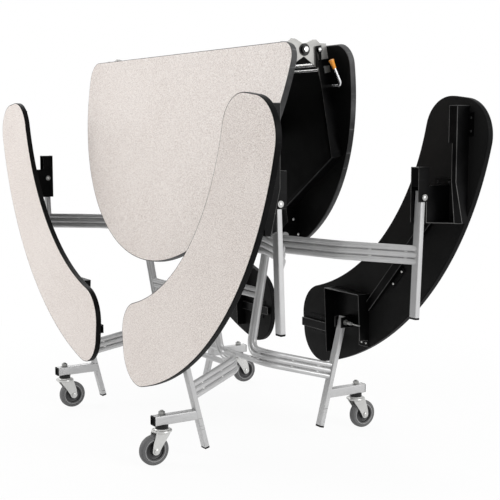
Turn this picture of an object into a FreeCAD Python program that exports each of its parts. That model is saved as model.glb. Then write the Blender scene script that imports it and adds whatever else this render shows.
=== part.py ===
import FreeCAD, Part
import math
import os

os.makedirs("parts", exist_ok=True)
V = FreeCAD.Vector

# Folding cafeteria table with four benches, in millimetres, stored folded up.
# X is the direction the halves fold in, Y runs along the hinge, Z is up, and
# the origin is on the floor under the middle of the hinge.  Every piece is
# drawn for the far side (+X) or the left end (+Y) and mirrored for the others.

# Table top
TABLE_R = 762.0
BOARD_T = 20.0
EDGE_T = 3.0
SEAM = 1.5
SEAM_CORNER_R = 60.0
TABLE_OPEN_H = 737.0
HINGE_TO_FACE = 111.0
HINGE_Z = 1352.0
LEAN = 10.7

# Benches: ring sectors around the open table's axis
BENCH_RI = 834.0
BENCH_RO = 1124.0
BENCH_END_DEG = 6.8
BENCH_CORNER_R = 119.0
SEAT_OPEN_H = 452.0
BENCH_FACE_X = 396.6
UPPER_PIN_U = 430.0
UPPER_PIN_Y = 908.0
UPPER_PIN_DROP = 125.0
LOWER_PIN_U = 911.3
LOWER_PIN_Y = 421.0
LOWER_PIN_DROP = 63.0

# Leg frames
POST_X = 18.0
POST_Y = 31.0
POST_WALL = 2.0
POST_ABOVE_PIN = 20.0
FOOT_T = 6.0
FOOT_CLEARANCE = 29.0
PLUG_DEPTH = 16.0
LOWER_TILT = 14.4
UPPER_TILT = 2.3
UPPER_OPEN_TILT = 33.25
TUBE_R = 10.2
AXLE_R = 10.0
TUBE_WALL = 1.6
TUBE_PITCH = 20.6
RIBBON_Z = 206.0
BEND_R = 60.0
TURN_R = 32.0
LOWER_BACK = 235.0
LOWER_CORNER_Y = 345.0
LOWER_UPRIGHT_Y = 238.5
LOWER_CROSS_Z = 425.0
UPPER_BACK = 228.4
UPPER_KNEE = (149.5, 705.0)
UPPER_CORNER_Y = 480.0
UPPER_UPRIGHT_Y = 200.6
UPPER_BEND_R = 150.0
CROSS_R = 9.6
WELD_R = 4.0
WELD_H = 14.0

# Steel under the top
RAIL_Y = 648.0
RAIL_T = 4.0
RAIL_DEPTH = 43.0
RAIL_START = 42.0
RAIL_KNEE = 360.0
RAIL_PAST_AXLE = 33.0
RAIL_IN_S = 547.0
RAIL_IN_Y = 325.0
FLANGE_T = 3.0
FLANGE_W = 25.0
LIP_W = 12.0
PLATE_END = 137.0
PLATE_GAP = 0.8
BRACKET_WALL = 7.0
SLOT_BRACKET_Y = 232.0
SLOT_CLEAR = 1.5
AXLE_NUT_T = 9.0
SLOT_AXLE_HALF = 254.0
LIFT_ROD = (57.0, 60.0, 6.0)
STOP_ROD = (74.0, 60.0, 5.0)

# Hinge shaft, pins and clearances
SHAFT_R = 9.0
SHAFT_PAST_PLATE = 1.6
SHAFT_NUT_R = 14.0
SHAFT_NUT_T = 9.0
PIN_R = 6.0
PIN_HEAD_R = 10.0
PIN_HEAD_T = 4.0
RUN = 0.3
SIDE = 1.0

# Bench brackets
STEEL_T = 3.0
LOWER_BOX = (800.0, 318.0, 524.0)
LOWER_SIDE_ENDS = (1040.0, 966.0)
LOWER_BOX_DEPTH = 50.0
LOWER_BOX_TAPER = 12.0
LOWER_TAB = (968.0, 992.0, 470.0)
CHEEK_HALF = 19.0
LINK_R = 2.5
LINK_SLEEVE = (458.0, 478.0)
FORK_PLATE = (397.0, 511.0)
FORK_CAP = (335.0, 148.0, 42.0)
FORK_RECESS = 114.0
FORK_TAB = (373.0, 861.0, 942.0)
LUG_R = 14.0
CHANNEL_W = 30.0
CHANNEL_H = 14.0
LIP_PLATE = (22.0, 95.0)
END_CHANNEL = (957.0, 125.0)
DIAGONAL = ((846.0, 526.0), (509.0, 845.0))
DEEP_CHANNEL = (1010.0, 36.0, 20.0, 50.0)
DEEP_RUN = (143.0, 259.0, 380.0)
DEEP_END = (36.0, 20.0)

# Casters and the arms that carry them
STEM_X = 401.0
STEM_Y = 419.0
STEM_R = 6.0
ARM = 32.0
ARM_WALL = 2.5
ARM_Z = 133.0
ARM_END_X = 435.0
WHEEL_R = 51.0
WHEEL_W = 30.0
TYRE_EDGE = 4.0
HUB_R = 33.0
TRAIL = 30.0
FORK_GAP = 3.0
CROWN_TOP = 121.0
CROWN_BOTTOM = 106.0

# Latch on the far half
LATCH_S = 128.0
LATCH_N = 70.0
LATCH_R = 5.0
LATCH_OUT = 728.0
LATCH_RISE = 86.0
LATCH_TILT = 27.0
LATCH_BARE = 0.66
GRIP = (7.5, 11.0, 30.0)
GRIP_CHAMFER = 3.0

UNDERSIDE = HINGE_TO_FACE - BOARD_T
FOLD = 90.0 - LEAN
BENCH_FOLD = 90.0
LOWER_POST = SEAT_OPEN_H - LOWER_PIN_DROP
UPPER_POST = (SEAT_OPEN_H - UPPER_PIN_DROP) / math.cos(math.radians(UPPER_OPEN_TILT))
PATH_STEPS = 16


# ---------------------------------------------------------------- plane geometry

def turned(point, degrees):
    """Point of the X-Z plane turned about +Y."""
    a = math.radians(degrees)
    x, z = point
    return (x * math.cos(a) + z * math.sin(a), z * math.cos(a) - x * math.sin(a))


def added(p, q, factor=1.0):
    return (p[0] + factor * q[0], p[1] + factor * q[1])


def into(frame, point):
    """World point of the X-Z plane seen from a (origin, turn) frame."""
    origin, degrees = frame
    return turned(added(point, origin, -1.0), -degrees)


def shared_pivot(turn_1, folded_1, open_1, turn_2, folded_2, open_2):
    """Folded place of the point that two bodies share both folded and open."""
    c = math.cos(math.radians(turn_1)) - math.cos(math.radians(turn_2))
    s = math.sin(math.radians(turn_1)) - math.sin(math.radians(turn_2))
    first = added(turned(folded_1, turn_1), open_1, -1.0)
    second = added(turned(folded_2, turn_2), open_2, -1.0)
    bx, bz = added(first, second, -1.0)
    size = c * c + s * s
    return ((c * bx - s * bz) / size, (s * bx + c * bz) / size)


HINGE = (0.0, HINGE_Z)
HINGE_OPEN = (0.0, TABLE_OPEN_H - HINGE_TO_FACE)
LOWER_PIN_Z = FOOT_CLEARANCE + LOWER_POST * math.cos(math.radians(LOWER_TILT))
BENCH_AXIS_Z = LOWER_PIN_Z + LOWER_PIN_U
LOWER_PIN = (BENCH_FACE_X - LOWER_PIN_DROP, LOWER_PIN_Z)
UPPER_PIN = (BENCH_FACE_X - UPPER_PIN_DROP, BENCH_AXIS_Z - UPPER_PIN_U)
UPPER_PIN_OPEN = (UPPER_PIN_U, SEAT_OPEN_H - UPPER_PIN_DROP)
LOWER_PIN_OPEN = (LOWER_PIN_U, SEAT_OPEN_H - LOWER_PIN_DROP)
UPPER_TURN = UPPER_OPEN_TILT - UPPER_TILT
LOWER_AXLE = shared_pivot(-FOLD, HINGE, HINGE_OPEN, -LOWER_TILT, LOWER_PIN, LOWER_PIN_OPEN)
UPPER_AXLE = shared_pivot(-FOLD, HINGE, HINGE_OPEN, UPPER_TURN, UPPER_PIN, UPPER_PIN_OPEN)

TOP_FRAME = (HINGE, FOLD)
BENCH_FRAME = ((BENCH_FACE_X, BENCH_AXIS_Z), BENCH_FOLD)
LOWER_FRAME = (added(LOWER_PIN, turned((0.0, -LOWER_POST), LOWER_TILT)), LOWER_TILT)
UPPER_FRAME = (added(UPPER_PIN, turned((0.0, -UPPER_POST), UPPER_TILT)), UPPER_TILT)
AXLE_IN_TOP = into(TOP_FRAME, LOWER_AXLE)
AXLE_IN_LOWER = into(LOWER_FRAME, LOWER_AXLE)
AXLE_IN_UPPER = into(UPPER_FRAME, UPPER_AXLE)
RAIL_END = AXLE_IN_TOP[0] + RAIL_PAST_AXLE


def slot_path():
    """Path of the upper frame's axle in the top's frame while the table folds."""
    points = []
    for i in range(PATH_STEPS):
        t = i / PATH_STEPS
        lower_axle = added(HINGE, turned(added(LOWER_AXLE, HINGE, -1.0), -FOLD * t))
        lower_pin = added(lower_axle, turned(added(LOWER_PIN, LOWER_AXLE, -1.0), -LOWER_TILT * t))
        upper_pin = added(lower_pin, turned(added(UPPER_PIN, LOWER_PIN, -1.0), -BENCH_FOLD * t))
        axle = added(upper_pin, turned(added(UPPER_AXLE, UPPER_PIN, -1.0), UPPER_TURN * t))
        points.append(into((HINGE, FOLD * (1.0 - t)), axle))
    return points


# ---------------------------------------------------------------- solids

def box(x0, x1, y0, y1, z0, z1):
    return Part.makeBox(x1 - x0, y1 - y0, z1 - z0, V(x0, y0, z0))


def rod(start, end, radius):
    start, end = V(*start), V(*end)
    return Part.makeCylinder(radius, (end - start).Length, start, end - start)


def cross_rod(point, y0, y1, radius):
    """Rod along Y through a point of the X-Z plane."""
    return rod((point[0], y0, point[1]), (point[0], y1, point[1]), radius)


def side_plate(points, y0, y1):
    """Plate in the X-Z plane, as thick as y0 to y1."""
    wire = Part.makePolygon([V(x, y0, z) for x, z in points + points[:1]])
    return Part.Face(wire).extrude(V(0, y1 - y0, 0))


def offset_path(points, distance):
    """Plan polyline moved to its left by a distance, with mitred corners."""
    normals = []
    for (x0, y0), (x1, y1) in zip(points, points[1:]):
        length = math.hypot(x1 - x0, y1 - y0)
        normals.append(((y0 - y1) / length, (x1 - x0) / length))
    moved = []
    for i, point in enumerate(points):
        before = normals[max(i - 1, 0)]
        after = normals[min(i, len(normals) - 1)]
        scale = distance / (1.0 + before[0] * after[0] + before[1] * after[1])
        moved.append(added(point, added(before, after), scale))
    return moved


def strip(points, right, left, z0, z1):
    """Flat bar along a plan polyline, from one sideways offset to another."""
    outline = offset_path(points, right) + offset_path(points, left)[::-1]
    wire = Part.makePolygon([V(x, y, z0) for x, y in outline + outline[:1]])
    return Part.Face(wire).extrude(V(0, 0, z1 - z0))


def bent_path(points, radii):
    """Wire through 3-D points with an arc of the given radius at each inner one."""
    points = [V(*p) for p in points]
    edges = []
    last = points[0]
    for i in range(1, len(points) - 1):
        back = (points[i - 1] - points[i]).normalize()
        ahead = (points[i + 1] - points[i]).normalize()
        half = back.getAngle(ahead) / 2.0
        reach = radii[i - 1] / math.tan(half)
        start = points[i] + back * reach
        end = points[i] + ahead * reach
        inward = (back + ahead).normalize()
        middle = points[i] + inward * (radii[i - 1] / math.sin(half) - radii[i - 1])
        edges.append(Part.makeLine(last, start))
        edges.append(Part.Arc(start, middle, end).toShape())
        last = end
    edges.append(Part.makeLine(last, points[-1]))
    return Part.Wire(edges)


def bent_rod(points, radii, radius):
    path = bent_path(points, radii)
    start, ahead = V(*points[0]), V(*points[1]) - V(*points[0])
    ring = Part.Wire(Part.makeCircle(radius, start, ahead))
    return path.makePipeShell([ring], True, False)


def bent_tube(points, radii):
    outer = bent_rod(points, radii, TUBE_R)
    return outer.cut(bent_rod(points, radii, TUBE_R - TUBE_WALL))


def both_ends(shape):
    """A shape of the left end together with its mirror image at the right end."""
    return Part.makeCompound([shape, shape.mirror(V(0, 0, 0), V(0, 1, 0))])


def fused(shapes):
    return shapes[0].multiFuse(shapes[1:]).removeSplitter()


def placed(shape, frame):
    (x, z), degrees = frame
    moved = shape.copy()
    moved.rotate(V(0, 0, 0), V(0, 1, 0), degrees)
    moved.translate(V(x, 0, z))
    return moved


# ---------------------------------------------------------------- table top

def board_pair(outline, corner_r, z0, z1):
    """Board and edging of a slab: the edging is a band round the board."""
    corners = [e for e in outline.Edges if abs(e.tangentAt(e.FirstParameter).z) > 0.99]
    slab = outline.makeFillet(corner_r, corners)
    top = [f for f in slab.Faces if abs(f.CenterOfMass.z - z0) < 0.01][0]
    inner = top.makeOffset2D(-EDGE_T)
    inner_slab = Part.Face(inner.OuterWire).extrude(V(0, 0, z1 - z0))
    return inner_slab, slab.cut(inner_slab)


def top_slab():
    disc = Part.makeCylinder(TABLE_R, BOARD_T, V(0, 0, UNDERSIDE))
    return disc.common(box(SEAM, TABLE_R, -TABLE_R, TABLE_R, UNDERSIDE, HINGE_TO_FACE))


def bench_slab():
    sweep = 90.0 - 2.0 * BENCH_END_DEG
    outer = Part.makeCylinder(BENCH_RO, BOARD_T, V(0, 0, -BOARD_T), V(0, 0, 1), sweep)
    inner = Part.makeCylinder(BENCH_RI, BOARD_T, V(0, 0, -BOARD_T))
    ring = outer.cut(inner)
    ring.rotate(V(0, 0, 0), V(0, 0, 1), BENCH_END_DEG)
    return ring


def web_inner_y(nested):
    """Inner face of the rail web: the nested half's web is further out."""
    return RAIL_Y - RAIL_T + (RAIL_T - PLATE_GAP / 2.0 if nested else PLATE_GAP / 2.0)


def plate_inner_y(nested):
    """Inner face of the hinge plate: the nested half's plate lies inside its web."""
    return web_inner_y(nested) + (-RAIL_T if nested else RAIL_T)


def axle_bracket():
    """Deep lug under the rail that carries the lower frame's axle."""
    s, n = AXLE_IN_TOP
    points = [(s - 60.0, UNDERSIDE), (RAIL_END, UNDERSIDE), (RAIL_END, n + LUG_R)]
    points += [(s + LUG_R + 4.0, n - LUG_R), (s - LUG_R, n - LUG_R - 4.0), (s - 36.0, n + 12.0)]
    return side_plate(points, RAIL_IN_Y, RAIL_IN_Y + RAIL_T)


def slot_bracket(nested):
    """Plate with the window in which the upper frame's axle shifts."""
    y0 = SLOT_BRACKET_Y + (RAIL_T + SIDE if nested else -SIDE)
    path = slot_path()
    loop = Part.Face(Part.makePolygon([V(s, y0, n) for s, n in path + path[:1]]))
    window = loop.makeOffset2D(AXLE_R + SLOT_CLEAR).extrude(V(0, RAIL_T, 0))
    lug = loop.makeOffset2D(AXLE_R + SLOT_CLEAR + BRACKET_WALL).extrude(V(0, RAIL_T, 0))
    s0, s1 = lug.BoundBox.XMin, lug.BoundBox.XMax
    base = min(n for s, n in path) + AXLE_R
    web = box(s0 + 8.0, s1 - 8.0, y0, y0 + RAIL_T, base, UNDERSIDE)
    foot = box(s0 - 10.0, s1 + 10.0, y0 - FLANGE_W, y0, UNDERSIDE - FLANGE_T, UNDERSIDE)
    return fused([lug, web, foot]).cut(window)


def rails(nested):
    """Bent channel rails with the brackets of both leg frames, both ends."""
    y = web_inner_y(nested)
    low = [(RAIL_KNEE, y), (RAIL_IN_S, RAIL_IN_Y), (RAIL_END, RAIL_IN_Y)]
    start = [(RAIL_START, y)] + low
    clear = [(PLATE_END + FLANGE_T, y)] + low
    bottom = UNDERSIDE - RAIL_DEPTH
    web = strip(start, 0.0, RAIL_T, bottom, UNDERSIDE)
    flange = strip(clear, -FLANGE_W, 0.0, UNDERSIDE - FLANGE_T, UNDERSIDE)
    lip = strip(clear, -LIP_W, 0.0, bottom, bottom + FLANGE_T)
    rail = fused([web, flange, lip, axle_bracket()])
    rail = rail.cut(cross_rod(AXLE_IN_TOP, RAIL_IN_Y - FLANGE_W, RAIL_IN_Y + RAIL_T, AXLE_R + RUN))
    return Part.makeCompound([both_ends(rail), both_ends(slot_bracket(nested))])


def hinge_plates(nested):
    y = plate_inner_y(nested)
    points = [(-6.0, UNDERSIDE), (-11.0, 66.0), (-24.0, 55.0), (-26.0, 40.0), (-17.0, 6.0)]
    points += [(-12.0, -11.0), (0.0, -17.0), (13.0, -11.0), (44.0, 22.0), (70.0, 46.0)]
    points += [(PLATE_END, 54.0), (PLATE_END, UNDERSIDE)]
    plate = side_plate(points, y, y + RAIL_T)
    foot_y = y - FLANGE_W if nested else y + RAIL_T
    foot = box(SEAM, PLATE_END, foot_y, foot_y + FLANGE_W, UNDERSIDE - FLANGE_T, UNDERSIDE)
    plate = fused([plate, foot])
    return both_ends(plate.cut(cross_rod((0.0, 0.0), y, y + RAIL_T, SHAFT_R + RUN)))


def lift_rods(nested):
    """Torsion rod and stop rod between the two rails."""
    half = min(web_inner_y(nested), plate_inner_y(nested))
    rods = [cross_rod((s, n), -half, half, r) for s, n, r in (LIFT_ROD, STOP_ROD)]
    return Part.makeCompound(rods)


def top_screws(nested):
    y = web_inner_y(nested)
    spots = [(160.0, y - 14.0), (250.0, y - 14.0), (340.0, y - 14.0), (450.0, 479.0)]
    spots += [(560.0, RAIL_IN_Y - 14.0)]
    level = UNDERSIDE - FLANGE_T
    heads = [rod((s, w, level - 2.5), (s, w, level), 4.5) for s, w in spots]
    inner = RAIL_IN_Y + RAIL_T
    heads += [cross_rod(p, inner, inner + 3.5, 6.0) for p in ((597.0, 72.0), (655.0, 83.0))]
    return both_ends(Part.makeCompound(heads))


def latch_path():
    knee = (LATCH_S, -LATCH_OUT, LATCH_N)
    tip = (LATCH_S - LATCH_RISE, -LATCH_OUT, LATCH_N - LATCH_TILT)
    inner = (LATCH_S, -plate_inner_y(True) + 8.0, LATCH_N)
    return inner, knee, tip


def latch_rod():
    inner, knee, tip = latch_path()
    stub = tuple(k + LATCH_BARE * (t - k) for k, t in zip(knee, tip))
    collar_y = inner[1] - 4.0
    collar = cross_rod((LATCH_S, LATCH_N), collar_y, inner[1], LATCH_R + 3.0)
    return fused([bent_rod([inner, knee, stub], [14.0], LATCH_R), collar])


def latch_grip():
    inner, knee, tip = (V(*p) for p in latch_path())
    start = knee + (tip - knee) * LATCH_BARE
    grip = Part.makeCone(GRIP[0], GRIP[1], GRIP[2], start, tip - knee)
    rim = [e for e in grip.Edges if e.Closed and e.Curve.Radius > GRIP[1] - 0.1]
    return grip.makeChamfer(GRIP_CHAMFER, rim)


def stop_link():
    """Slotted stop bar with its bolt, outside the right-hand hinge plates."""
    y1 = -(plate_inner_y(False) + RAIL_T + PLATE_GAP / 2.0)
    bar = side_plate([(-4.0, 44.0), (-4.0, 65.0), (64.0, 54.0), (64.0, 34.0)], y1 - RAIL_T, y1)
    bolt = cross_rod((9.0, 54.0), y1 - RAIL_T - 6.0, y1 - RAIL_T, 8.0)
    slot = box(22.0, 46.0, y1 - RAIL_T, y1, 45.0, 52.0)
    spacer = cross_rod((RAIL_START + 10.0, 56.0), y1, -web_inner_y(True) - RAIL_T, 5.0)
    return fused([bar.cut(slot), bolt, spacer])


# ---------------------------------------------------------------- leg frames

def post_shell(post_y, height):
    """Outer shape of a leg post, standing on its foot."""
    half = POST_Y / 2.0
    return box(-POST_X / 2.0, POST_X / 2.0, post_y - half, post_y + half, FOOT_T, height)


def post(post_y, pin_z):
    half = POST_Y / 2.0
    height = pin_z + POST_ABOVE_PIN
    core = box(-POST_X / 2.0 + POST_WALL, POST_X / 2.0 - POST_WALL, post_y - half + POST_WALL,
               post_y + half - POST_WALL, FOOT_T, height - POST_WALL)
    tube = post_shell(post_y, height).cut(core)
    return tube.cut(cross_rod((0.0, pin_z), post_y - POST_Y, post_y + POST_Y, PIN_R + RUN))


def foot_plug(post_y):
    half = POST_Y / 2.0
    sole = box(-POST_X / 2.0, POST_X / 2.0, post_y - half, post_y + half, 0.0, FOOT_T)
    gap = POST_WALL + RUN
    neck = box(-POST_X / 2.0 + gap, POST_X / 2.0 - gap, post_y - half + gap, post_y + half - gap,
               FOOT_T, FOOT_T + PLUG_DEPTH)
    return sole.fuse(neck)


def lower_posts():
    """Posts of the lower frame with the horizontal caster arms welded on."""
    upright = placed(post(LOWER_PIN_Y, LOWER_POST), LOWER_FRAME)
    shell = placed(post_shell(LOWER_PIN_Y, LOWER_POST), LOWER_FRAME)
    start = LOWER_FRAME[0][0]
    y0, y1 = STEM_Y - ARM / 2.0, STEM_Y + ARM / 2.0
    z1 = ARM_Z + ARM
    arm = box(start, ARM_END_X - FLANGE_T, y0, y1, ARM_Z, z1)
    hollow = box(start, ARM_END_X, y0 + ARM_WALL, y1 - ARM_WALL, ARM_Z + ARM_WALL, z1 - ARM_WALL)
    stem_hole = rod((STEM_X, STEM_Y, ARM_Z), (STEM_X, STEM_Y, z1), STEM_R + RUN)
    arm = arm.cut(hollow).cut(stem_hole)
    beyond = placed(box(-ARM * 4.0, 0.0, y0 - ARM, y1 + ARM, 0.0, LOWER_POST), LOWER_FRAME)
    arm = arm.cut(shell).cut(beyond)
    return both_ends(upright.fuse(arm))


def lower_plugs():
    plug = placed(foot_plug(LOWER_PIN_Y), LOWER_FRAME)
    y0, y1 = STEM_Y - ARM / 2.0, STEM_Y + ARM / 2.0
    cap = box(ARM_END_X - FLANGE_T, ARM_END_X, y0, y1, ARM_Z, ARM_Z + ARM)
    return both_ends(Part.makeCompound([plug, cap]))


def ribbon(plan, bends, upright_y, top, shell, axle_half):
    """Three stacked tubes: the lowest runs across, two turn up to the axle."""
    back = plan[-1][0]
    tubes = []
    for level in (-1, 0, 1):
        z = RIBBON_Z + level * TUBE_PITCH
        first = [(x, y, z) for x, y in plan]
        if level < 0:
            points = first + [(x, -y, z) for x, y in plan[::-1]]
            tubes.append(bent_tube(points, bends + bends[::-1]))
            continue
        y = upright_y - (TUBE_PITCH if level == 0 else 0.0)
        turn = TURN_R + (TUBE_PITCH if level == 0 else 0.0)
        points = first + [(back, y, z), (top[0], y, top[1])]
        tube = bent_tube(points, bends + [turn])
        tubes += [tube, tube.mirror(V(0, 0, 0), V(0, 1, 0))]
    for level in (-0.5, 0.5):
        z = RIBBON_Z + level * TUBE_PITCH
        for y in (plan[-1][1] - BEND_R, upright_y + 2.0 * TURN_R):
            weld = rod((back - WELD_H / 2.0, y, z), (back + WELD_H / 2.0, y, z), WELD_R)
            tubes += [weld, weld.mirror(V(0, 0, 0), V(0, 1, 0))]
    axle = cross_rod(top, -axle_half, axle_half, AXLE_R)
    body = fused(tubes).cut(cross_rod(top, -axle_half, axle_half, AXLE_R - TUBE_WALL / 2.0))
    return fused([body.cut(both_ends(shell)), axle])


def lower_ribbon():
    plan = [(0.0, LOWER_PIN_Y), (-LOWER_BACK, LOWER_CORNER_Y)]
    shell = post_shell(LOWER_PIN_Y, LOWER_POST)
    half = RAIL_IN_Y + RAIL_T + SIDE + AXLE_NUT_T
    frame = ribbon(plan, [BEND_R], LOWER_UPRIGHT_Y, AXLE_IN_LOWER, shell, half)
    rise = (LOWER_CROSS_Z - RIBBON_Z) / (AXLE_IN_LOWER[1] - RIBBON_Z)
    x = -LOWER_BACK + rise * (AXLE_IN_LOWER[0] + LOWER_BACK)
    y = LOWER_UPRIGHT_Y - TUBE_PITCH
    bars = []
    for z in (LOWER_CROSS_Z - TUBE_PITCH / 2.0, LOWER_CROSS_Z + TUBE_PITCH / 2.0):
        bars.append(cross_rod((x, z), -y, y, CROSS_R))
    nut = cross_rod(AXLE_IN_LOWER, half - AXLE_NUT_T, half, LUG_R)
    return placed(fused([frame] + bars + [nut, nut.mirror(V(0, 0, 0), V(0, 1, 0))]), LOWER_FRAME)


def upper_ribbon():
    plan = [(0.0, UPPER_PIN_Y), (-UPPER_KNEE[0], UPPER_KNEE[1]), (-UPPER_BACK, UPPER_CORNER_Y)]
    shell = post_shell(UPPER_PIN_Y, UPPER_POST)
    frame = ribbon(plan, [UPPER_BEND_R, UPPER_BEND_R], UPPER_UPRIGHT_Y, AXLE_IN_UPPER, shell,
                   SLOT_AXLE_HALF)
    return placed(frame, UPPER_FRAME)


# ---------------------------------------------------------------- benches

def lower_bracket():
    """Wide hat bracket under the bench with two cheeks that take the lower post."""
    x0, y0, y1 = LOWER_BOX
    top, low = -BOARD_T, -BOARD_T - LOWER_BOX_DEPTH
    pin = (LOWER_PIN_U, -LOWER_PIN_DROP)
    parts = [box(x0, LOWER_SIDE_ENDS[1], y0, y1, top - STEEL_T, top)]
    parts.append(box(LOWER_SIDE_ENDS[1], LOWER_TAB[1], LOWER_TAB[2], y1, top - STEEL_T, top))
    parts.append(box(x0, x0 + STEEL_T, y0, y1, low, top))
    for y, x1 in zip((y0, y1 - STEEL_T), LOWER_SIDE_ENDS):
        points = [(x0, top), (x0, low), (x1, low + LOWER_BOX_TAPER), (x1, top)]
        parts.append(side_plate(points, y, y + STEEL_T))
    low = pin[1] - CHEEK_HALF
    points = [(pin[0] - CHEEK_HALF, top), (pin[0] - CHEEK_HALF, low), (pin[0] + CHEEK_HALF, low)]
    points.append((pin[0] + CHEEK_HALF, top))
    gap = POST_Y / 2.0 + SIDE
    for y in (LOWER_PIN_Y - gap - STEEL_T, LOWER_PIN_Y + gap):
        parts.append(side_plate(points, y, y + STEEL_T).cut(cross_rod(pin, y, y + STEEL_T, PIN_R)))
    return fused(parts).cut(cross_rod(pin, y1 - STEEL_T, y1, LINK_R))


def upper_bracket():
    """Deep fork under the bench that carries the upper pin, capped above and open below."""
    x0, x1 = FORK_PLATE
    cap_x, front, cap_depth = FORK_CAP
    top, back = -BOARD_T, cap_depth - front
    gap = POST_Y / 2.0 + SIDE
    y0, y1 = UPPER_PIN_Y - gap - STEEL_T, UPPER_PIN_Y + gap + STEEL_T
    shared = [(cap_x, -front), (cap_x, back), (x0, back), (x0, top), (x1, top)]
    inner = shared + [(x1, -front)]
    lobe = UPPER_PIN_U + LUG_R
    outer = shared + [(x1, -FORK_RECESS), (lobe, -FORK_RECESS), (lobe, -front)]
    parts = [side_plate(inner, y0, y0 + STEEL_T), side_plate(outer, y1 - STEEL_T, y1)]
    parts.append(box(cap_x, x0, y0, y1, -front, -front + STEEL_T))
    parts.append(box(cap_x, cap_x + STEEL_T, y0, y1, -front, back))
    parts.append(box(x0 - STEEL_T, x0, y0, y1, back, top))
    parts.append(box(x0, x1, y0, y1, top - STEEL_T, top))
    parts.append(box(FORK_TAB[0], x0, FORK_TAB[1], FORK_TAB[2], top - STEEL_T, top))
    pin = cross_rod((UPPER_PIN_U, -UPPER_PIN_DROP), y0, y1, PIN_R)
    return fused(parts + [fork_foot(y0, y1)]).cut(pin)


def fork_foot(y0, y1):
    """Flange across the fork's lower end, on to the deep channel beside it."""
    x1, wall = FORK_PLATE[1], DEEP_CHANNEL[0] - DEEP_CHANNEL[2]
    points = [(y0, -BOARD_T), (y0, -FORK_RECESS), (y1, -FORK_RECESS), (wall, -BOARD_T - DEEP_END[0])]
    points.append((wall, -BOARD_T))
    wire = Part.makePolygon([V(x1 - STEEL_T, y, z) for y, z in points + points[:1]])
    return Part.Face(wire).extrude(V(STEEL_T, 0, 0))


def deep_channel():
    """Deep box channel outside the fork: wide at the bench's end, then narrow, then sloped off."""
    y1, wide, narrow, depth = DEEP_CHANNEL
    x0, step, slope = DEEP_RUN
    top = -BOARD_T
    x1 = FORK_PLATE[1]

    def section(x, width, left, right, wall):
        corners = [(y1 - width + wall, top), (y1 - width + wall, top - left + wall)]
        corners += [(y1 - wall, top - right + wall), (y1 - wall, top)]
        return Part.makePolygon([V(x, y, z) for y, z in corners + corners[:1]])

    def shell(wall):
        head = Part.Face(section(x0, wide, depth, depth, wall)).extrude(V(step - x0, 0, 0))
        neck = Part.Face(section(step, narrow, depth, depth, wall)).extrude(V(slope - step, 0, 0))
        end = section(x1, narrow, DEEP_END[0], DEEP_END[1], wall)
        tail = Part.makeLoft([section(slope, narrow, depth, depth, wall), end], True, True)
        return fused([head, neck, tail])

    lip = box(x0 + LIP_PLATE[0], x0 + LIP_PLATE[1], y1, y1 + LIP_PLATE[0], top - STEEL_T, top)
    return fused([shell(0.0).cut(shell(STEEL_T)), lip])


def hat_channel(run, lips):
    """Shallow pressed channel with short screw plates (side, share of the run) beside it."""
    top, low = -BOARD_T, -BOARD_T - CHANNEL_H
    half = CHANNEL_W / 2.0
    crown = strip(run, -half, half, low, top)
    crown = crown.cut(strip(run, -half + STEEL_T, half - STEEL_T, low + STEEL_T, top))
    (xa, ya), (xb, yb) = run
    length = math.hypot(xb - xa, yb - ya)
    ahead = ((xb - xa) / length, (yb - ya) / length)
    parts = [crown]
    for side, share in lips:
        middle = added(run[0], ahead, share * length)
        short = [added(middle, ahead, -LIP_PLATE[1] / 2.0), added(middle, ahead, LIP_PLATE[1] / 2.0)]
        edges = sorted((side * half, side * (half + LIP_PLATE[0])))
        parts.append(strip(short, edges[0], edges[1], top - STEEL_T, top))
    return fused(parts)


def bench_steel():
    x, y = END_CHANNEL
    end_rail = hat_channel([(x, y), (x, LOWER_BOX[1])], [(1.0, 0.45), (-1.0, 0.5)])
    diagonal = hat_channel([DIAGONAL[0], DIAGONAL[1]], [(-1.0, 0.42)])
    fork = fused([upper_bracket(), deep_channel()])
    return Part.makeCompound([lower_bracket(), fork, end_rail, diagonal])


def headed_pin(point, y0, y1):
    parts = [cross_rod(point, y0 - PIN_HEAD_T, y1 + PIN_HEAD_T, PIN_R)]
    parts.append(cross_rod(point, y0 - PIN_HEAD_T, y0, PIN_HEAD_R))
    parts.append(cross_rod(point, y1, y1 + PIN_HEAD_T, PIN_HEAD_R))
    return fused(parts)


def bench_pins():
    """Both headed pins, the lower one drawn on as a thin link with a sleeve."""
    lower = (LOWER_PIN_U, -LOWER_PIN_DROP)
    gap = POST_Y / 2.0 + SIDE + STEEL_T
    pin = headed_pin(lower, LOWER_PIN_Y - gap, LOWER_PIN_Y + gap)
    link = cross_rod(lower, LOWER_PIN_Y, LOWER_BOX[2], LINK_R)
    sleeve = cross_rod(lower, LINK_SLEEVE[0], LINK_SLEEVE[1], PIN_R)
    upper = headed_pin((UPPER_PIN_U, -UPPER_PIN_DROP), UPPER_PIN_Y - gap, UPPER_PIN_Y + gap)
    return Part.makeCompound([fused([pin, link, sleeve]), upper])


# ---------------------------------------------------------------- casters

def hexagon(radius, z0, z1):
    points = []
    for i in range(7):
        a = math.radians(60.0 * i)
        points.append(V(radius * math.cos(a), radius * math.sin(a), z0))
    return Part.Face(Part.makePolygon(points)).extrude(V(0, 0, z1 - z0))


def caster_stem():
    """Threaded stem with its bearing cup below the arm and its nut above."""
    top = ARM_Z + ARM
    parts = [rod((0, 0, CROWN_BOTTOM + 4.0), (0, 0, top + 17.0), STEM_R)]
    parts.append(rod((0, 0, CROWN_TOP + RUN), (0, 0, ARM_Z), 22.0))
    parts.append(rod((0, 0, top), (0, 0, top + 2.0), 13.0))
    parts.append(hexagon(11.0, top + 2.0, top + 13.0))
    return fused(parts)


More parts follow.
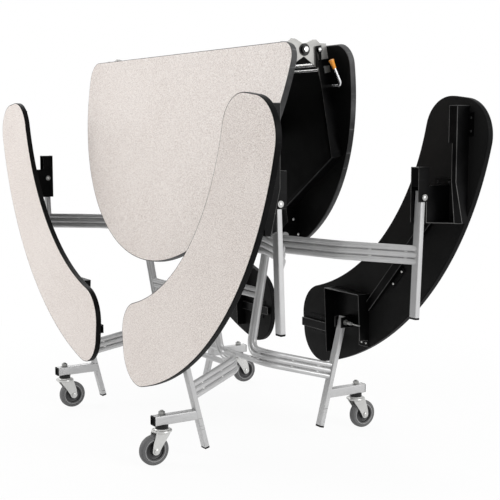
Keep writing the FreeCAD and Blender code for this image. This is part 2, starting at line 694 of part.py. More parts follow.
def caster_fork():
    half = WHEEL_W / 2.0 + FORK_GAP
    crown = rod((0, 0, CROWN_BOTTOM), (0, 0, CROWN_TOP), 27.0)
    crown = crown.cut(rod((0, 0, CROWN_BOTTOM), (0, 0, CROWN_TOP), STEM_R + RUN))
    points = [(-20.0, CROWN_TOP - 2.0), (24.0, CROWN_TOP - 2.0), (46.0, 60.0), (42.0, 40.0)]
    points += [(24.0, 37.0), (14.0, 50.0), (-22.0, CROWN_BOTTOM)]
    parts = [crown]
    for y in (-half - STEEL_T, half):
        parts.append(side_plate(points, y, y + STEEL_T))
    bridge = box(-20.0, 24.0, -half, half, CROWN_BOTTOM, CROWN_TOP - 2.0)
    parts.append(bridge.cut(rod((0, 0, CROWN_BOTTOM), (0, 0, CROWN_TOP), STEM_R + RUN)))
    reach = half + STEEL_T + 5.0
    parts.append(cross_rod((TRAIL, WHEEL_R), -reach, reach, STEM_R))
    return fused(parts)


def caster_hub():
    wide = WHEEL_W / 2.0
    hub = cross_rod((TRAIL, WHEEL_R), -wide - 1.5, wide + 1.5, 13.0)
    disc = cross_rod((TRAIL, WHEEL_R), -wide + 5.0, wide - 5.0, HUB_R)
    return hub.fuse(disc).cut(cross_rod((TRAIL, WHEEL_R), -wide - 2.0, wide + 2.0, STEM_R + RUN))


def caster_tyre():
    wide = WHEEL_W / 2.0
    tyre = cross_rod((TRAIL, WHEEL_R), -wide, wide, WHEEL_R)
    rims = [e for e in tyre.Edges if e.Closed]
    tyre = tyre.makeChamfer(TYRE_EDGE, rims)
    return tyre.cut(cross_rod((TRAIL, WHEEL_R), -wide, wide, HUB_R))


# ---------------------------------------------------------------- hinge shaft

def shaft_half():
    return plate_inner_y(False) + RAIL_T + SHAFT_PAST_PLATE


def hinge_nuts():
    nut = cross_rod(HINGE, shaft_half(), shaft_half() + SHAFT_NUT_T, SHAFT_NUT_R)
    return both_ends(nut)


# ---------------------------------------------------------------- assembly

def save(name, shape):
    shape.exportStep("parts/" + name + ".step")


def mirrored(shape, side):
    return shape.mirror(V(0, 0, 0), V(1, 0, 0)) if side == "near" else shape


def at_stem(shape, trail, side, hand):
    """Caster piece moved to its stem, with the wheel trailing along X."""
    moved = shape.copy()
    if trail < 0:
        moved.rotate(V(0, 0, 0), V(0, 0, 1), 180.0)
    moved.translate(V(STEM_X if side == "far" else -STEM_X, STEM_Y if hand == "left" else -STEM_Y, 0))
    return moved


save("hinge_shaft", cross_rod(HINGE, -shaft_half(), shaft_half(), SHAFT_R))
save("hinge_nuts", hinge_nuts())

top_board, top_edging = board_pair(top_slab(), SEAM_CORNER_R, UNDERSIDE, HINGE_TO_FACE)
bench_corner = min(BENCH_CORNER_R, 0.42 * (BENCH_RO - BENCH_RI))
bench_board, bench_edging = board_pair(bench_slab(), bench_corner, -BOARD_T, 0.0)
lower = {"lower_posts": lower_posts(), "lower_ribbon": lower_ribbon(), "lower_plugs": lower_plugs()}
upper_post = both_ends(post(UPPER_PIN_Y, UPPER_POST))
upper = {"upper_posts": placed(upper_post, UPPER_FRAME), "upper_ribbon": upper_ribbon()}
upper["upper_plugs"] = placed(both_ends(foot_plug(UPPER_PIN_Y)), UPPER_FRAME)
bench = {"board": bench_board, "edging": bench_edging, "steel": bench_steel(), "pins": bench_pins()}
caster = {"fork": caster_fork(), "hub": caster_hub(), "tyre": caster_tyre()}
trails = {("near", "right"): -1, ("near", "left"): 1, ("far", "right"): 1, ("far", "left"): 1}

for side in ("near", "far"):
    nested = side == "far"
    steel = rails(nested)
    plates = hinge_plates(nested)
    if nested:
        end = LATCH_OUT
        hole = cross_rod((LATCH_S, LATCH_N), -end, 0.0, LATCH_R + RUN)
        steel = steel.cut(hole)
        plates = plates.cut(hole)
    top = {"top_board": top_board, "top_edging": top_edging, "rails": steel}
    top.update({"hinge_plates": plates, "lift_rods": lift_rods(nested), "screws": top_screws(nested)})
    for name, shape in top.items():
        save(side + "_" + name, mirrored(placed(shape, TOP_FRAME), side))
    for name, shape in list(lower.items()) + list(upper.items()):
        save(side + "_" + name, mirrored(shape, side))
    stems = []
    for hand in ("right", "left"):
        where = side + "_" + hand
        stems.append(at_stem(caster_stem(), 1, side, hand))
        for name, shape in caster.items():
            save(where + "_" + name, at_stem(shape, trails[(side, hand)], side, hand))
        for name, shape in bench.items():
            piece = shape if hand == "left" else shape.mirror(V(0, 0, 0), V(0, 1, 0))
            save(where + "_bench_" + name, mirrored(placed(piece, BENCH_FRAME), side))
    save(side + "_caster_stems", Part.makeCompound(stems))

for name, shape in (("rod", latch_rod()), ("grip", latch_grip())):
    save("latch_" + name, placed(shape, TOP_FRAME))
save("stop_link", placed(stop_link(), TOP_FRAME))
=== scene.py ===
"""Looks of a round folding cafeteria table with four curved benches, stored folded on its casters.

Metres.  X is the direction the halves fold in (near half -X, far half +X), Y runs
along the hinge (right end -Y, left end +Y), Z is up, the floor is at Z = 0.
"""

import math
from functools import partial

import bmesh
import bpy
import numpy as np
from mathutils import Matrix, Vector


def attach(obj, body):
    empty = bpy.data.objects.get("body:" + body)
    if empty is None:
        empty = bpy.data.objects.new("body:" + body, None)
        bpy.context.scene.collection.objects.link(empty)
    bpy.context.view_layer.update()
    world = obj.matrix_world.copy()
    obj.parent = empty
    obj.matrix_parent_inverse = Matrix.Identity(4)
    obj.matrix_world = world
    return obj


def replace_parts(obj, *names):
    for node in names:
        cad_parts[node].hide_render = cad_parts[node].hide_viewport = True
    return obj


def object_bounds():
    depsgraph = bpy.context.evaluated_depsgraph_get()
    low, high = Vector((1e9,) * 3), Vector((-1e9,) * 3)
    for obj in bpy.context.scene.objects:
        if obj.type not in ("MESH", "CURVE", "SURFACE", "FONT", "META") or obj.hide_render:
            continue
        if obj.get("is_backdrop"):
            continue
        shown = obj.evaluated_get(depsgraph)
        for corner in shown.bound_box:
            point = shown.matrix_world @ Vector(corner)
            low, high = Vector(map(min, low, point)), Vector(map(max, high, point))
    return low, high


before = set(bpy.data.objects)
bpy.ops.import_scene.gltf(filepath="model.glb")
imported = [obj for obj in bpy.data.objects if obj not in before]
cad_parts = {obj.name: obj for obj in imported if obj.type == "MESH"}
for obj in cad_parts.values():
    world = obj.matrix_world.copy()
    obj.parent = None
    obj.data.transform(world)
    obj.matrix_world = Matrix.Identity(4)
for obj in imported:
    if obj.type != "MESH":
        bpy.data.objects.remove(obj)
cad_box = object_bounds()

# ---------------------------------------- viewpoint
# A person with a long lens stands off the right-hand end of the near half and
# looks slightly down at the folded table.

eye = Vector((-1.974, -3.505, 1.113))
gaze = Vector((0.52387, 0.84393, -0.11546)).normalized()
lens = bpy.data.cameras.new("viewpoint")
lens.lens = 77.29
lens.sensor_width = 36.0
viewpoint = bpy.data.objects.new("viewpoint", lens)
viewpoint.location = eye
viewpoint.rotation_euler = gaze.to_track_quat("-Z", "Y").to_euler()
bpy.context.scene.collection.objects.link(viewpoint)
bpy.context.scene.camera = viewpoint
bpy.context.scene.view_settings.view_transform = "Standard"

# ---------------------------------------- room and lamps
# A white studio floor, a white surround and three large soft lamps.  The floor
# keeps the table's soft shadow and runs out into the white surround.


def add_node(tree, kind, values=(), **settings):
    """A new shader node with its settings and its unlinked input values."""
    node = tree.nodes.new(kind)
    for name, value in settings.items():
        setattr(node, name, value)
    for name, value in dict(values).items():
        node.inputs[name].default_value = value
    return node


def link(tree, source, out, target, into):
    """Joins one node's output socket to another node's input socket."""
    tree.links.new(source.outputs[out], target.inputs[into])


def empty_tree(owner):
    """The owner's node tree, cleared of the nodes that it starts with."""
    owner.use_nodes = True
    owner.node_tree.nodes.clear()
    return owner.node_tree


def seen_directly(tree):
    """1 for rays from the camera, from mirrors and through glass, otherwise 0."""
    path = add_node(tree, "ShaderNodeLightPath")
    first = add_node(tree, "ShaderNodeMath", operation="MAXIMUM")
    link(tree, path, "Is Camera Ray", first, 0)
    link(tree, path, "Is Glossy Ray", first, 1)
    both = add_node(tree, "ShaderNodeMath", operation="MAXIMUM")
    link(tree, first, 0, both, 0)
    link(tree, path, "Is Transmission Ray", both, 1)
    return both


def grid_faces(rows, columns, close_rows=True, close_columns=True):
    """Quads of a rows x columns grid of points, closed round either way."""
    r = np.arange(rows if close_rows else rows - 1)
    c = np.arange(columns if close_columns else columns - 1)
    r, c = np.meshgrid(r, c, indexing="ij")
    r1, c1 = (r + 1) % rows, (c + 1) % columns
    quads = np.stack([r * columns + c, r1 * columns + c, r1 * columns + c1, r * columns + c1], axis=-1)
    return quads.reshape(-1, 4)


WHITE = (1.0, 1.0, 1.0, 1.0)
world = bpy.data.worlds.new("studio")
bpy.context.scene.world = world
tree = empty_tree(world)
surround = add_node(tree, "ShaderNodeBackground", {"Color": WHITE, "Strength": 0.60})
white = add_node(tree, "ShaderNodeBackground", {"Color": WHITE, "Strength": 1.0})
chosen = add_node(tree, "ShaderNodeMixShader")
link(tree, seen_directly(tree), 0, chosen, 0)
link(tree, surround, 0, chosen, 1)
link(tree, white, 0, chosen, 2)
link(tree, chosen, 0, add_node(tree, "ShaderNodeOutputWorld"), 0)

FLOOR_HALF = 30.0
FLOOR_POINTS = 7
floor_paint = bpy.data.materials.new("studio_floor")
tree = empty_tree(floor_paint)
matt = add_node(tree, "ShaderNodeBsdfDiffuse", {"Color": (0.92, 0.92, 0.92, 1.0)})
lit = add_node(tree, "ShaderNodeEmission", {"Strength": 1.0})
shown = add_node(tree, "ShaderNodeMixShader")
coords = add_node(tree, "ShaderNodeTexCoord")
distance = add_node(tree, "ShaderNodeVectorMath", operation="LENGTH")
link(tree, coords, "Object", distance, 0)
fade = add_node(tree, "ShaderNodeMapRange", {"From Min": 0.9, "From Max": 2.3, "To Min": 0.93, "To Max": 1.0},
                interpolation_type="SMOOTHSTEP")
link(tree, distance, "Value", fade, 0)
share = add_node(tree, "ShaderNodeMath", operation="MULTIPLY")
link(tree, seen_directly(tree), 0, share, 0)
link(tree, fade, 0, share, 1)
link(tree, share, 0, shown, 0)
link(tree, matt, 0, shown, 1)
link(tree, lit, 0, shown, 2)
link(tree, shown, 0, add_node(tree, "ShaderNodeOutputMaterial"), 0)
floor_mesh = bpy.data.meshes.new("studio_floor")
reach = np.linspace(-FLOOR_HALF, FLOOR_HALF, FLOOR_POINTS)
gx, gy = np.meshgrid(reach, reach, indexing="ij")
points = np.stack([gx.ravel(), gy.ravel(), np.zeros(gx.size)], axis=1)
quads = grid_faces(FLOOR_POINTS, FLOOR_POINTS, close_rows=False, close_columns=False)
floor_mesh.from_pydata(points.tolist(), [], quads.tolist())
floor_mesh.materials.append(floor_paint)
studio_floor = bpy.data.objects.new("studio_floor", floor_mesh)
bpy.context.scene.collection.objects.link(studio_floor)
studio_floor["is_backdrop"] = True


def soft_lamp(name, place, target, size, watts):
    """Round lamp of a given width and power, aimed from its place at a target."""
    data = bpy.data.lights.new(name, "AREA")
    data.shape = "DISK"
    data.size = size
    data.energy = watts
    lamp = bpy.data.objects.new(name, data)
    lamp.location = place
    aim = Vector(target) - Vector(place)
    lamp.rotation_euler = aim.to_track_quat("-Z", "Y").to_euler()
    bpy.context.scene.collection.objects.link(lamp)


soft_lamp("front_lamp", (-3.5, 2.7, 2.7), (0.0, 0.1, 0.8), 2.6, 80.0)
soft_lamp("side_lamp", (1.6, -5.0, 2.3), (0.1, -0.3, 0.7), 2.4, 122.0)
soft_lamp("back_lamp", (1.5, 4.0, 3.4), (0.0, 0.2, 0.8), 2.6, 60.0)

# ---------------------------------------- table boards
# Two half-round particle boards with a pale speckled laminate on the outer face
# and a black backing sheet on the inner face, each hung from the centre hinge.

# Each half and its sign along X.
SIDES = (("near", -1.0), ("far", 1.0))
# Height of the hinge, lean of the folded halves, the laminate's distance out from the hinge, the
# board's thickness, and how far the laminate's colour reaches down its edge.
HINGE_Z = 1.352
LEAN = math.radians(10.7)
FACE = 0.111
BOARD = 0.020
SKIN_DEPTH = 0.0009
LAMINATE = (0.805, 0.727, 0.676, 1.0)
DARK_FLECK = (0.500, 0.425, 0.386, 1.0)
LIGHT_FLECK = (0.915, 0.870, 0.832, 1.0)
# Each row: grain scale, tone, and the grain values between which the tone comes in.
FLECKS = ((250.0, "Dark", 0.48, 0.57), (310.0, "Light", 0.49, 0.57),
          (480.0, "Dark", 0.53, 0.63), (3.5, "Light", 0.30, 2.6))
# The Mix node's sockets: its two colours, its colour out, and its two plain values.
MIX_A, MIX_B, MIX_OUT = 6, 7, 2
PLAIN_A, PLAIN_B = 2, 3


def new_group(name, inputs, outputs):
    """A shader node group with its sockets, and its input and output nodes."""
    group = bpy.data.node_groups.new(name, "ShaderNodeTree")
    for way, sockets in (("INPUT", inputs), ("OUTPUT", outputs)):
        for label, kind in sockets.items():
            group.interface.new_socket(label, in_out=way, socket_type="NodeSocket" + kind)
    return group, add_node(group, "NodeGroupInput"), add_node(group, "NodeGroupOutput")


def speckle_group():
    """Printed speckle: small dark and light flecks and a slow drift of tone over the base."""
    inputs = {"Vector": "Vector", "Base": "Color", "Dark": "Color", "Light": "Color"}
    group, start, end = new_group("printed_speckle", inputs, {"Color": "Color"})
    colour, out = start, "Base"
    for scale, tone, low, high in FLECKS:
        grain = add_node(group, "ShaderNodeTexNoise", {"Scale": scale, "Detail": 2.0, "Roughness": 0.6})
        link(group, start, "Vector", grain, "Vector")
        cut = add_node(group, "ShaderNodeMapRange", {"From Min": low, "From Max": high})
        link(group, grain, 0, cut, 0)
        mixed = add_node(group, "ShaderNodeMix", data_type="RGBA")
        link(group, cut, 0, mixed, 0)
        link(group, colour, out, mixed, MIX_A)
        link(group, start, tone, mixed, MIX_B)
        colour, out = mixed, MIX_OUT
    link(group, colour, out, end, "Color")
    return group


def wear_group():
    """Handling marks: rubbed patches and fine scratches as two masks, and a grain as a height."""
    inputs = {"Vector": "Vector", "Grain Scale": "Float"}
    outputs = {"Patches": "Float", "Scratches": "Float", "Height": "Float"}
    group, start, end = new_group("handling_marks", inputs, outputs)
    patch = add_node(group, "ShaderNodeTexNoise", {"Scale": 7.0, "Detail": 4.0, "Roughness": 0.6})
    link(group, start, "Vector", patch, "Vector")
    spread = add_node(group, "ShaderNodeMapRange", {"From Min": 0.38, "From Max": 0.68})
    link(group, patch, 0, spread, 0)
    link(group, spread, 0, end, "Patches")
    stretched = add_node(group, "ShaderNodeMapping",
                         {"Rotation": (0.4, 0.7, 0.3), "Scale": (14.0, 160.0, 160.0)}, vector_type="POINT")
    link(group, start, "Vector", stretched, 0)
    lines = add_node(group, "ShaderNodeTexNoise", {"Scale": 1.0, "Detail": 1.0})
    link(group, stretched, 0, lines, "Vector")
    thin = add_node(group, "ShaderNodeMapRange", {"From Min": 0.66, "From Max": 0.74})
    link(group, lines, 0, thin, 0)
    link(group, thin, 0, end, "Scratches")
    grain = add_node(group, "ShaderNodeTexNoise", {"Detail": 3.0, "Roughness": 0.55})
    link(group, start, "Vector", grain, "Vector")
    link(group, start, "Grain Scale", grain, "Scale")
    link(group, grain, 0, end, "Height")
    return group


speckle = speckle_group()
marks = wear_group()


def use_group(tree, group, coords, values):
    """A group in a material's tree with its own values, reading the Object coordinates."""
    node = add_node(tree, "ShaderNodeGroup", values, node_tree=group)
    link(tree, coords, "Object", node, "Vector")
    return node


def new_finish(name, grain, values=()):
    """A material with its tree, coordinates, shader and handling marks over one grain."""
    made = bpy.data.materials.new(name)
    tree = empty_tree(made)
    coords = add_node(tree, "ShaderNodeTexCoord")
    shader = add_node(tree, "ShaderNodeBsdfPrincipled", values)
    link(tree, shader, 0, add_node(tree, "ShaderNodeOutputMaterial"), 0)
    return made, tree, coords, shader, use_group(tree, marks, coords, {"Grain Scale": grain})


def blend(tree, mask, out, low, high):
    """Colour from low to high as the mask goes from 0 to 1."""
    mixed = add_node(tree, "ShaderNodeMix", {MIX_A: low + (1.0,), MIX_B: high + (1.0,)}, data_type="RGBA")
    link(tree, mask, out, mixed, 0)
    return mixed


def rough_from(tree, source, out, low, high):
    """Roughness from low to high as a mask goes from 0 to 1."""
    spread = add_node(tree, "ShaderNodeMapRange", {"To Min": low, "To Max": high})
    link(tree, source, out, spread, 0)
    return spread


def relief(tree, source, out, shader, distance, strength=1.0):
    """Fine relief: the shader's normal, tilted by a height of the given distance."""
    bump = add_node(tree, "ShaderNodeBump", {"Strength": strength, "Distance": distance})
    link(tree, source, out, bump, "Height")
    link(tree, bump, 0, shader, "Normal")


def board_finish(name, outward, level, sheet):
    """Laminate where the point lies above a plane (outward . point > level), black backing below it."""
    made, tree, coords, shader, worn = new_finish(name, 520.0)
    tones = {"Base": LAMINATE, "Dark": DARK_FLECK, "Light": LIGHT_FLECK}
    printed = use_group(tree, speckle, coords, tones)
    pebbled = add_node(tree, "ShaderNodeMapRange", {"From Min": 0.30, "From Max": 0.72})
    link(tree, worn, "Height", pebbled, 0)
    backing = blend(tree, pebbled, 0, (0.3 * sheet,) * 3, (2.0 * sheet,) * 3)
    height = add_node(tree, "ShaderNodeVectorMath", {1: outward}, operation="DOT_PRODUCT")
    link(tree, coords, "Object", height, 0)
    outer = add_node(tree, "ShaderNodeMath", {1: level}, operation="GREATER_THAN")
    link(tree, height, "Value", outer, 0)
    colour = add_node(tree, "ShaderNodeMix", data_type="RGBA")
    link(tree, outer, 0, colour, 0)
    link(tree, backing, MIX_OUT, colour, MIX_A)
    link(tree, printed, "Color", colour, MIX_B)
    link(tree, colour, MIX_OUT, shader, "Base Color")
    laminate = rough_from(tree, worn, "Patches", 0.36, 0.46)
    back = rough_from(tree, worn, "Patches", 0.50, 0.68)
    rough = add_node(tree, "ShaderNodeMix", data_type="FLOAT")
    link(tree, outer, 0, rough, 0)
    link(tree, back, 0, rough, PLAIN_A)
    link(tree, laminate, 0, rough, PLAIN_B)
    link(tree, rough, 0, shader, "Roughness")
    sheen = add_node(tree, "ShaderNodeMapRange", {"To Min": 0.10, "To Max": 0.45})
    link(tree, outer, 0, sheen, 0)
    link(tree, sheen, 0, shader, "Specular IOR Level")
    relief(tree, worn, "Height", shader, 0.00012, 0.6)
    return made


def dress(material, *nodes):
    """Gives plain parts their material."""
    for node in nodes:
        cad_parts[node].material_slots[0].material = material


for side, u in SIDES:
    outward = (u * math.cos(LEAN), 0.0, math.sin(LEAN))
    level = HINGE_Z * math.sin(LEAN) + FACE - SKIN_DEPTH
    # The tops' backing sheet is set darker than the benches' same sheet: painted shade on the inner faces of
    # the folded halves.
    dress(board_finish(side + "_top_laminate", outward, level, 0.0022), side + "_top_board")

# ---------------------------------------- table edge bands
# A black moulded band is pressed round each board and stands 3 mm proud of the
# core.  Its outer edge is rounded over.

TOP_R = 0.762
TOP_CORNER = 0.060
SEAM = 0.0015
BAND = 0.003
SKIN = 0.0002


def arc(cx, cy, radius, start, end, count):
    """Points centre + radius * (cos, sin) of angles from start to end, in degrees."""
    a = np.radians(np.linspace(start, end, count))
    return np.stack([cx + radius * np.cos(a), cy + radius * np.sin(a)], axis=1)


def clean_loop(points):
    """Closed loop without repeated neighbours."""
    gap = np.linalg.norm(points - np.roll(points, 1, axis=0), axis=1)
    return points[gap > 1e-6]


def loop_normals(points):
    """Outward unit normals of a closed counter-clockwise loop, from its neighbours."""
    ahead = np.roll(points, -1, axis=0) - points
    behind = points - np.roll(points, 1, axis=0)
    ahead /= np.linalg.norm(ahead, axis=1)[:, None]
    behind /= np.linalg.norm(behind, axis=1)[:, None]
    along = ahead + behind
    along /= np.linalg.norm(along, axis=1)[:, None]
    return np.stack([along[:, 1], -along[:, 0]], axis=1)


def piece(name, parts, material, body, sharp=38.0):
    """Mesh piece of (points, faces) parts: merged, turned outwards, riding on a body."""
    mesh = bpy.data.meshes.new(name)
    points, faces, start = [], [], 0
    for p, f in parts:
        points.append(np.asarray(p, float))
        faces += [[int(i) + start for i in face] for face in f]
        start += len(p)
    mesh.from_pydata(np.concatenate(points).tolist(), [], faces)
    work = bmesh.new()
    work.from_mesh(mesh)
    bmesh.ops.remove_doubles(work, verts=work.verts, dist=1e-6)
    bmesh.ops.dissolve_degenerate(work, edges=work.edges, dist=1e-7)
    bmesh.ops.recalc_face_normals(work, faces=work.faces)
    work.to_mesh(mesh)
    work.free()
    mesh.shade_smooth()
    mesh.set_sharp_from_angle(angle=math.radians(sharp))
    mesh.materials.append(material)
    made = bpy.data.objects.new(name, mesh)
    bpy.context.scene.collection.objects.link(made)
    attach(made, body)
    return made


def on_half(u, s, y, n):
    """Table-frame points from s down a half, y along the hinge and n outward: s and n turned by the lean."""
    x = s * math.sin(LEAN) + n * math.cos(LEAN)
    z = HINGE_Z - s * math.cos(LEAN) + n * math.sin(LEAN)
    return np.stack([u * x, y, z], axis=-1).reshape(-1, 3)


def band_profile(count=16, sharpness=0.36):
    """Closed profile: offset -BAND..-SKIN and height 0..1, a half superellipse and a flat back."""
    a = np.linspace(-0.5 * math.pi, 0.5 * math.pi, count)
    out = -BAND + (BAND - SKIN) * np.abs(np.cos(a)) ** sharpness
    up = 0.5 + 0.5 * np.sign(np.sin(a)) * np.abs(np.sin(a)) ** sharpness
    return out, up


def band(loop, to_table, low, high):
    """Band carried round a board's outline: loop point + normal * offset, at each profile height."""
    normals = loop_normals(loop)
    out, up = band_profile()
    flat = loop[:, None, :] + normals[:, None, :] * out[None, :, None]
    level = np.broadcast_to(low + (high - low) * up[None, :], flat.shape[:2])
    return to_table(flat[..., 0], flat[..., 1], level), grid_faces(len(loop), len(out))


def black_finish(name, tone, patch, grain, bump, rough, spec):
    """Black plastic or paint: a base tone and a second tone in rubbed patches, paler scratches, a grained
    surface. Where the second tone is pale, as on the table bands and the edge rods, the patches also carry
    painted light.
    """
    made, tree, _, shader, worn = new_finish(name, grain, {"Specular IOR Level": spec})
    colour = blend(tree, worn, "Patches", tone, patch)
    pale = tuple(3.0 * v for v in patch) + (1.0,)
    scratched = add_node(tree, "ShaderNodeMix", {MIX_B: pale}, data_type="RGBA")
    faint = add_node(tree, "ShaderNodeMath", {1: 0.35}, operation="MULTIPLY")
    link(tree, worn, "Scratches", faint, 0)
    link(tree, faint, 0, scratched, 0)
    link(tree, colour, MIX_OUT, scratched, MIX_A)
    link(tree, scratched, MIX_OUT, shader, "Base Color")
    link(tree, rough_from(tree, worn, "Patches", *rough), 0, shader, "Roughness")
    relief(tree, worn, "Height", shader, bump)
    return made


# The tables' band: its pale patches are partly rubbed plastic and partly painted light, the sheen the band
# catches from the side.
table_band_painted_light = black_finish("band_black", (0.016, 0.016, 0.0165), (0.078, 0.078, 0.079), 260.0, 0.00120,
                          (0.38, 0.56), 0.28)
corner_s = SEAM + TOP_CORNER
corner_y = math.sqrt((TOP_R - TOP_CORNER) ** 2 - corner_s ** 2)
rise = math.degrees(math.atan2(corner_y, corner_s))
top_loop = clean_loop(np.concatenate([
    arc(corner_s, -corner_y, TOP_CORNER, 180.0, 360.0 - rise, 26),
    arc(0.0, 0.0, TOP_R, -rise, rise, 180),
    arc(corner_s, corner_y, TOP_CORNER, rise, 180.0, 26),
    np.stack([np.full(30, SEAM), np.linspace(corner_y, -corner_y, 30)], axis=1)]))
for side, u in SIDES:
    made = piece(side + "_edge_band", [band(top_loop, partial(on_half, u), FACE - BOARD, FACE)],
                 table_band_painted_light, side + "_top")
    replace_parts(made, side + "_top_edging")

# ---------------------------------------- rails and screws
# Bent channel rails of black painted steel are screwed up under each board.  They
# carry the deep lugs and the slotted plates for the leg frames' axles.

steel_black = black_finish("steel_black", (0.0012, 0.0012, 0.0013), (0.0034, 0.0034, 0.0036), 420.0, 0.00012,
                           (0.28, 0.44), 0.09)
dress(steel_black, "near_rails", "far_rails")


def plain_finish(name, tone, other, rough, grain, bump, strength, values, mask="Patches"):
    """Two close tones by rubbed patches, a roughness that follows a mask, and a fine grain."""
    made, tree, _, shader, worn = new_finish(name, grain, values)
    link(tree, blend(tree, worn, "Patches", tone, other), MIX_OUT, shader, "Base Color")
    link(tree, rough_from(tree, worn, mask, *rough), 0, shader, "Roughness")
    relief(tree, worn, "Height", shader, bump, strength)
    return made


def bright_finish(name, tone, dull, rough, bump=0.00006, metallic=1.0):
    """Plated or bare metal: bright and duller tones with a fine drawn grain."""
    return plain_finish(name, tone, dull, rough, 600.0, bump, 0.7, {"Metallic": metallic})


zinc = bright_finish("bright_zinc", (0.80, 0.80, 0.79), (0.62, 0.62, 0.61), (0.24, 0.40))
screw_zinc = bright_finish("screw_zinc", (0.62, 0.62, 0.60), (0.40, 0.40, 0.39), (0.28, 0.45))


def directions(axis):
    """The unit axis and two unit directions square to it and to each other."""
    axis = np.asarray(axis, float) / np.linalg.norm(axis)
    side = np.cross(axis, (0.0, 0.0, 1.0) if abs(axis[2]) < 0.9 else (1.0, 0.0, 0.0))
    side /= np.linalg.norm(side)
    return axis, side, np.cross(axis, side)


# Power of the dome, half width and reach of the slots as shares of the radius, their depth as a
# share of the height, and how far the rim is sunk.
DOME, SLOT_HALF, SLOT_REACH, SLOT_DEPTH, RIM_SUNK = 3.2, 0.17, 0.62, 0.45, 0.0002


def pan_head(centre, axis, radius, height, recess=True):
    """Cross-recessed pan head: height * (1 - (r/R)^DOME), minus two slots near the middle."""
    rings, spokes = 9, 24
    r = np.linspace(0.0, 1.0, rings)[:, None]
    a = np.linspace(0.0, 2.0 * math.pi, spokes, endpoint=False)[None, :]
    x, y = radius * r * np.cos(a), radius * r * np.sin(a)
    z = height * (1.0 - r ** DOME) * np.ones_like(a)
    if recess:
        cross = (np.minimum(np.abs(x), np.abs(y)) < SLOT_HALF * radius) & (r < SLOT_REACH)
        z = z - np.where(cross, SLOT_DEPTH * height, 0.0)
    axis, side, up = directions(axis)
    points = (np.asarray(centre, float)[None, None, :] + x[..., None] * side + y[..., None] * up
              + z[..., None] * axis).reshape(-1, 3)
    base = points[-spokes:] - axis * RIM_SUNK
    faces = grid_faces(rings, spokes, close_rows=False).tolist()
    ring = np.arange(spokes)
    last = (rings - 1) * spokes
    low = rings * spokes
    after = (ring + 1) % spokes
    faces += np.stack([last + ring, last + after, low + after, low + ring], axis=1).tolist()
    points = np.concatenate([points, base, base.mean(axis=0)[None]])
    hub = np.full(spokes, len(points) - 1)
    caps = np.stack([low + ring, low + after, hub, hub], axis=1)
    return points, np.concatenate([np.asarray(faces), caps])


# The signs along Y of the right and left ends.
ENDS = (-1.0, 1.0)
# Each half's rail webs stand this far from the middle.
WEB_Y = {"near": 0.6444, "far": 0.6476}
SHEET = 0.003
UNDER = FACE - BOARD - SHEET
# Heads as (radius, height), and their places as (s, y) under a board or (s, n) beside a lug.
RAIL_SCREW = (0.0045, 0.0025)
FLANGE_IN = 0.014
FLANGE_SCREWS = (0.160, 0.250, 0.340)
TAIL_SCREWS = [(0.450, 0.479), (0.560, 0.311)]
LUG_BOLT = (0.006, 0.0035)
LUG_Y = 0.329
LUG_BOLTS = ((0.597, 0.072), (0.655, 0.083))
for side, u in SIDES:
    inward = (-u * math.cos(LEAN), 0.0, -math.sin(LEAN))
    spots = [(s, WEB_Y[side] - FLANGE_IN) for s in FLANGE_SCREWS] + TAIL_SCREWS
    heads = []
    for v in ENDS:
        heads += [pan_head(on_half(u, s, v * y, UNDER)[0], inward, *RAIL_SCREW) for s, y in spots]
        heads += [pan_head(on_half(u, s, v * LUG_Y, n)[0], (0.0, v, 0.0), *LUG_BOLT, recess=False)
                  for s, n in LUG_BOLTS]
    made = piece(side + "_rail_screws", heads, screw_zinc, side + "_top", sharp=25.0)
    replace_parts(made, side + "_screws")

# ---------------------------------------- hinge
# A plated shaft runs the whole width through bright steel plates at both ends,
# with black bushes beside the plates and black nuts outside.

plate_steel = bright_finish("plate_steel", (0.40, 0.395, 0.38), (0.24, 0.237, 0.23), (0.40, 0.58),
                            metallic=0.2)
dress(plate_steel, "near_hinge_plates", "far_hinge_plates")
dress(zinc, "hinge_shaft")
bush_black = black_finish("bush_black", (0.0040, 0.0040, 0.0042), (0.0090, 0.0090, 0.0095), 900.0, 0.00005,
                          (0.28, 0.40), 0.25)
dress(bush_black, "hinge_nuts")


def turned(profile, origin, axis, spokes=40):
    """Surface of revolution: each (radius, distance along the axis) carried round the axis."""
    profile = np.asarray(profile, float)
    axis, side, up = directions(axis)
    a = np.linspace(0.0, 2.0 * math.pi, spokes, endpoint=False)
    ring = np.cos(a)[:, None] * side + np.sin(a)[:, None] * up
    points = (np.asarray(origin, float)[None, None, :] + profile[None, :, :1] * ring[:, None, :]
              + profile[None, :, 1:] * axis[None, None, :])
    return points.reshape(-1, 3), grid_faces(spokes, len(profile))


# Profiles (radius, distance along the hinge from the part's own place).
BORE = 0.0094
INNER_BUSH = [(BORE, 0.0), (0.0155, 0.0), (0.0165, 0.001), (0.0165, 0.005), (0.0155, 0.006), (BORE, 0.006)]
OUTER_BUSH = [(BORE, 0.0), (0.0190, 0.0), (0.0198, 0.0007), (0.0198, 0.0020), (0.0188, 0.0029),
              (BORE, 0.0029)]
SHAFT_END = [(0.0, 0.0), (0.0090, 0.0), (0.0090, 0.0030), (0.0082, 0.0041), (0.0060, 0.0046), (0.0, 0.0048)]
INNER_Y, OUTER_Y, END_Y = 0.6425, 0.6527, 0.6626
bushes = []
for v in ENDS:
    bushes.append(turned(INNER_BUSH, (0.0, v * INNER_Y, HINGE_Z), (0.0, -v, 0.0)))
    bushes.append(turned(OUTER_BUSH, (0.0, v * OUTER_Y, HINGE_Z), (0.0, v, 0.0), 48))
piece("hinge_bushes", bushes, bush_black, "centre_hinge")


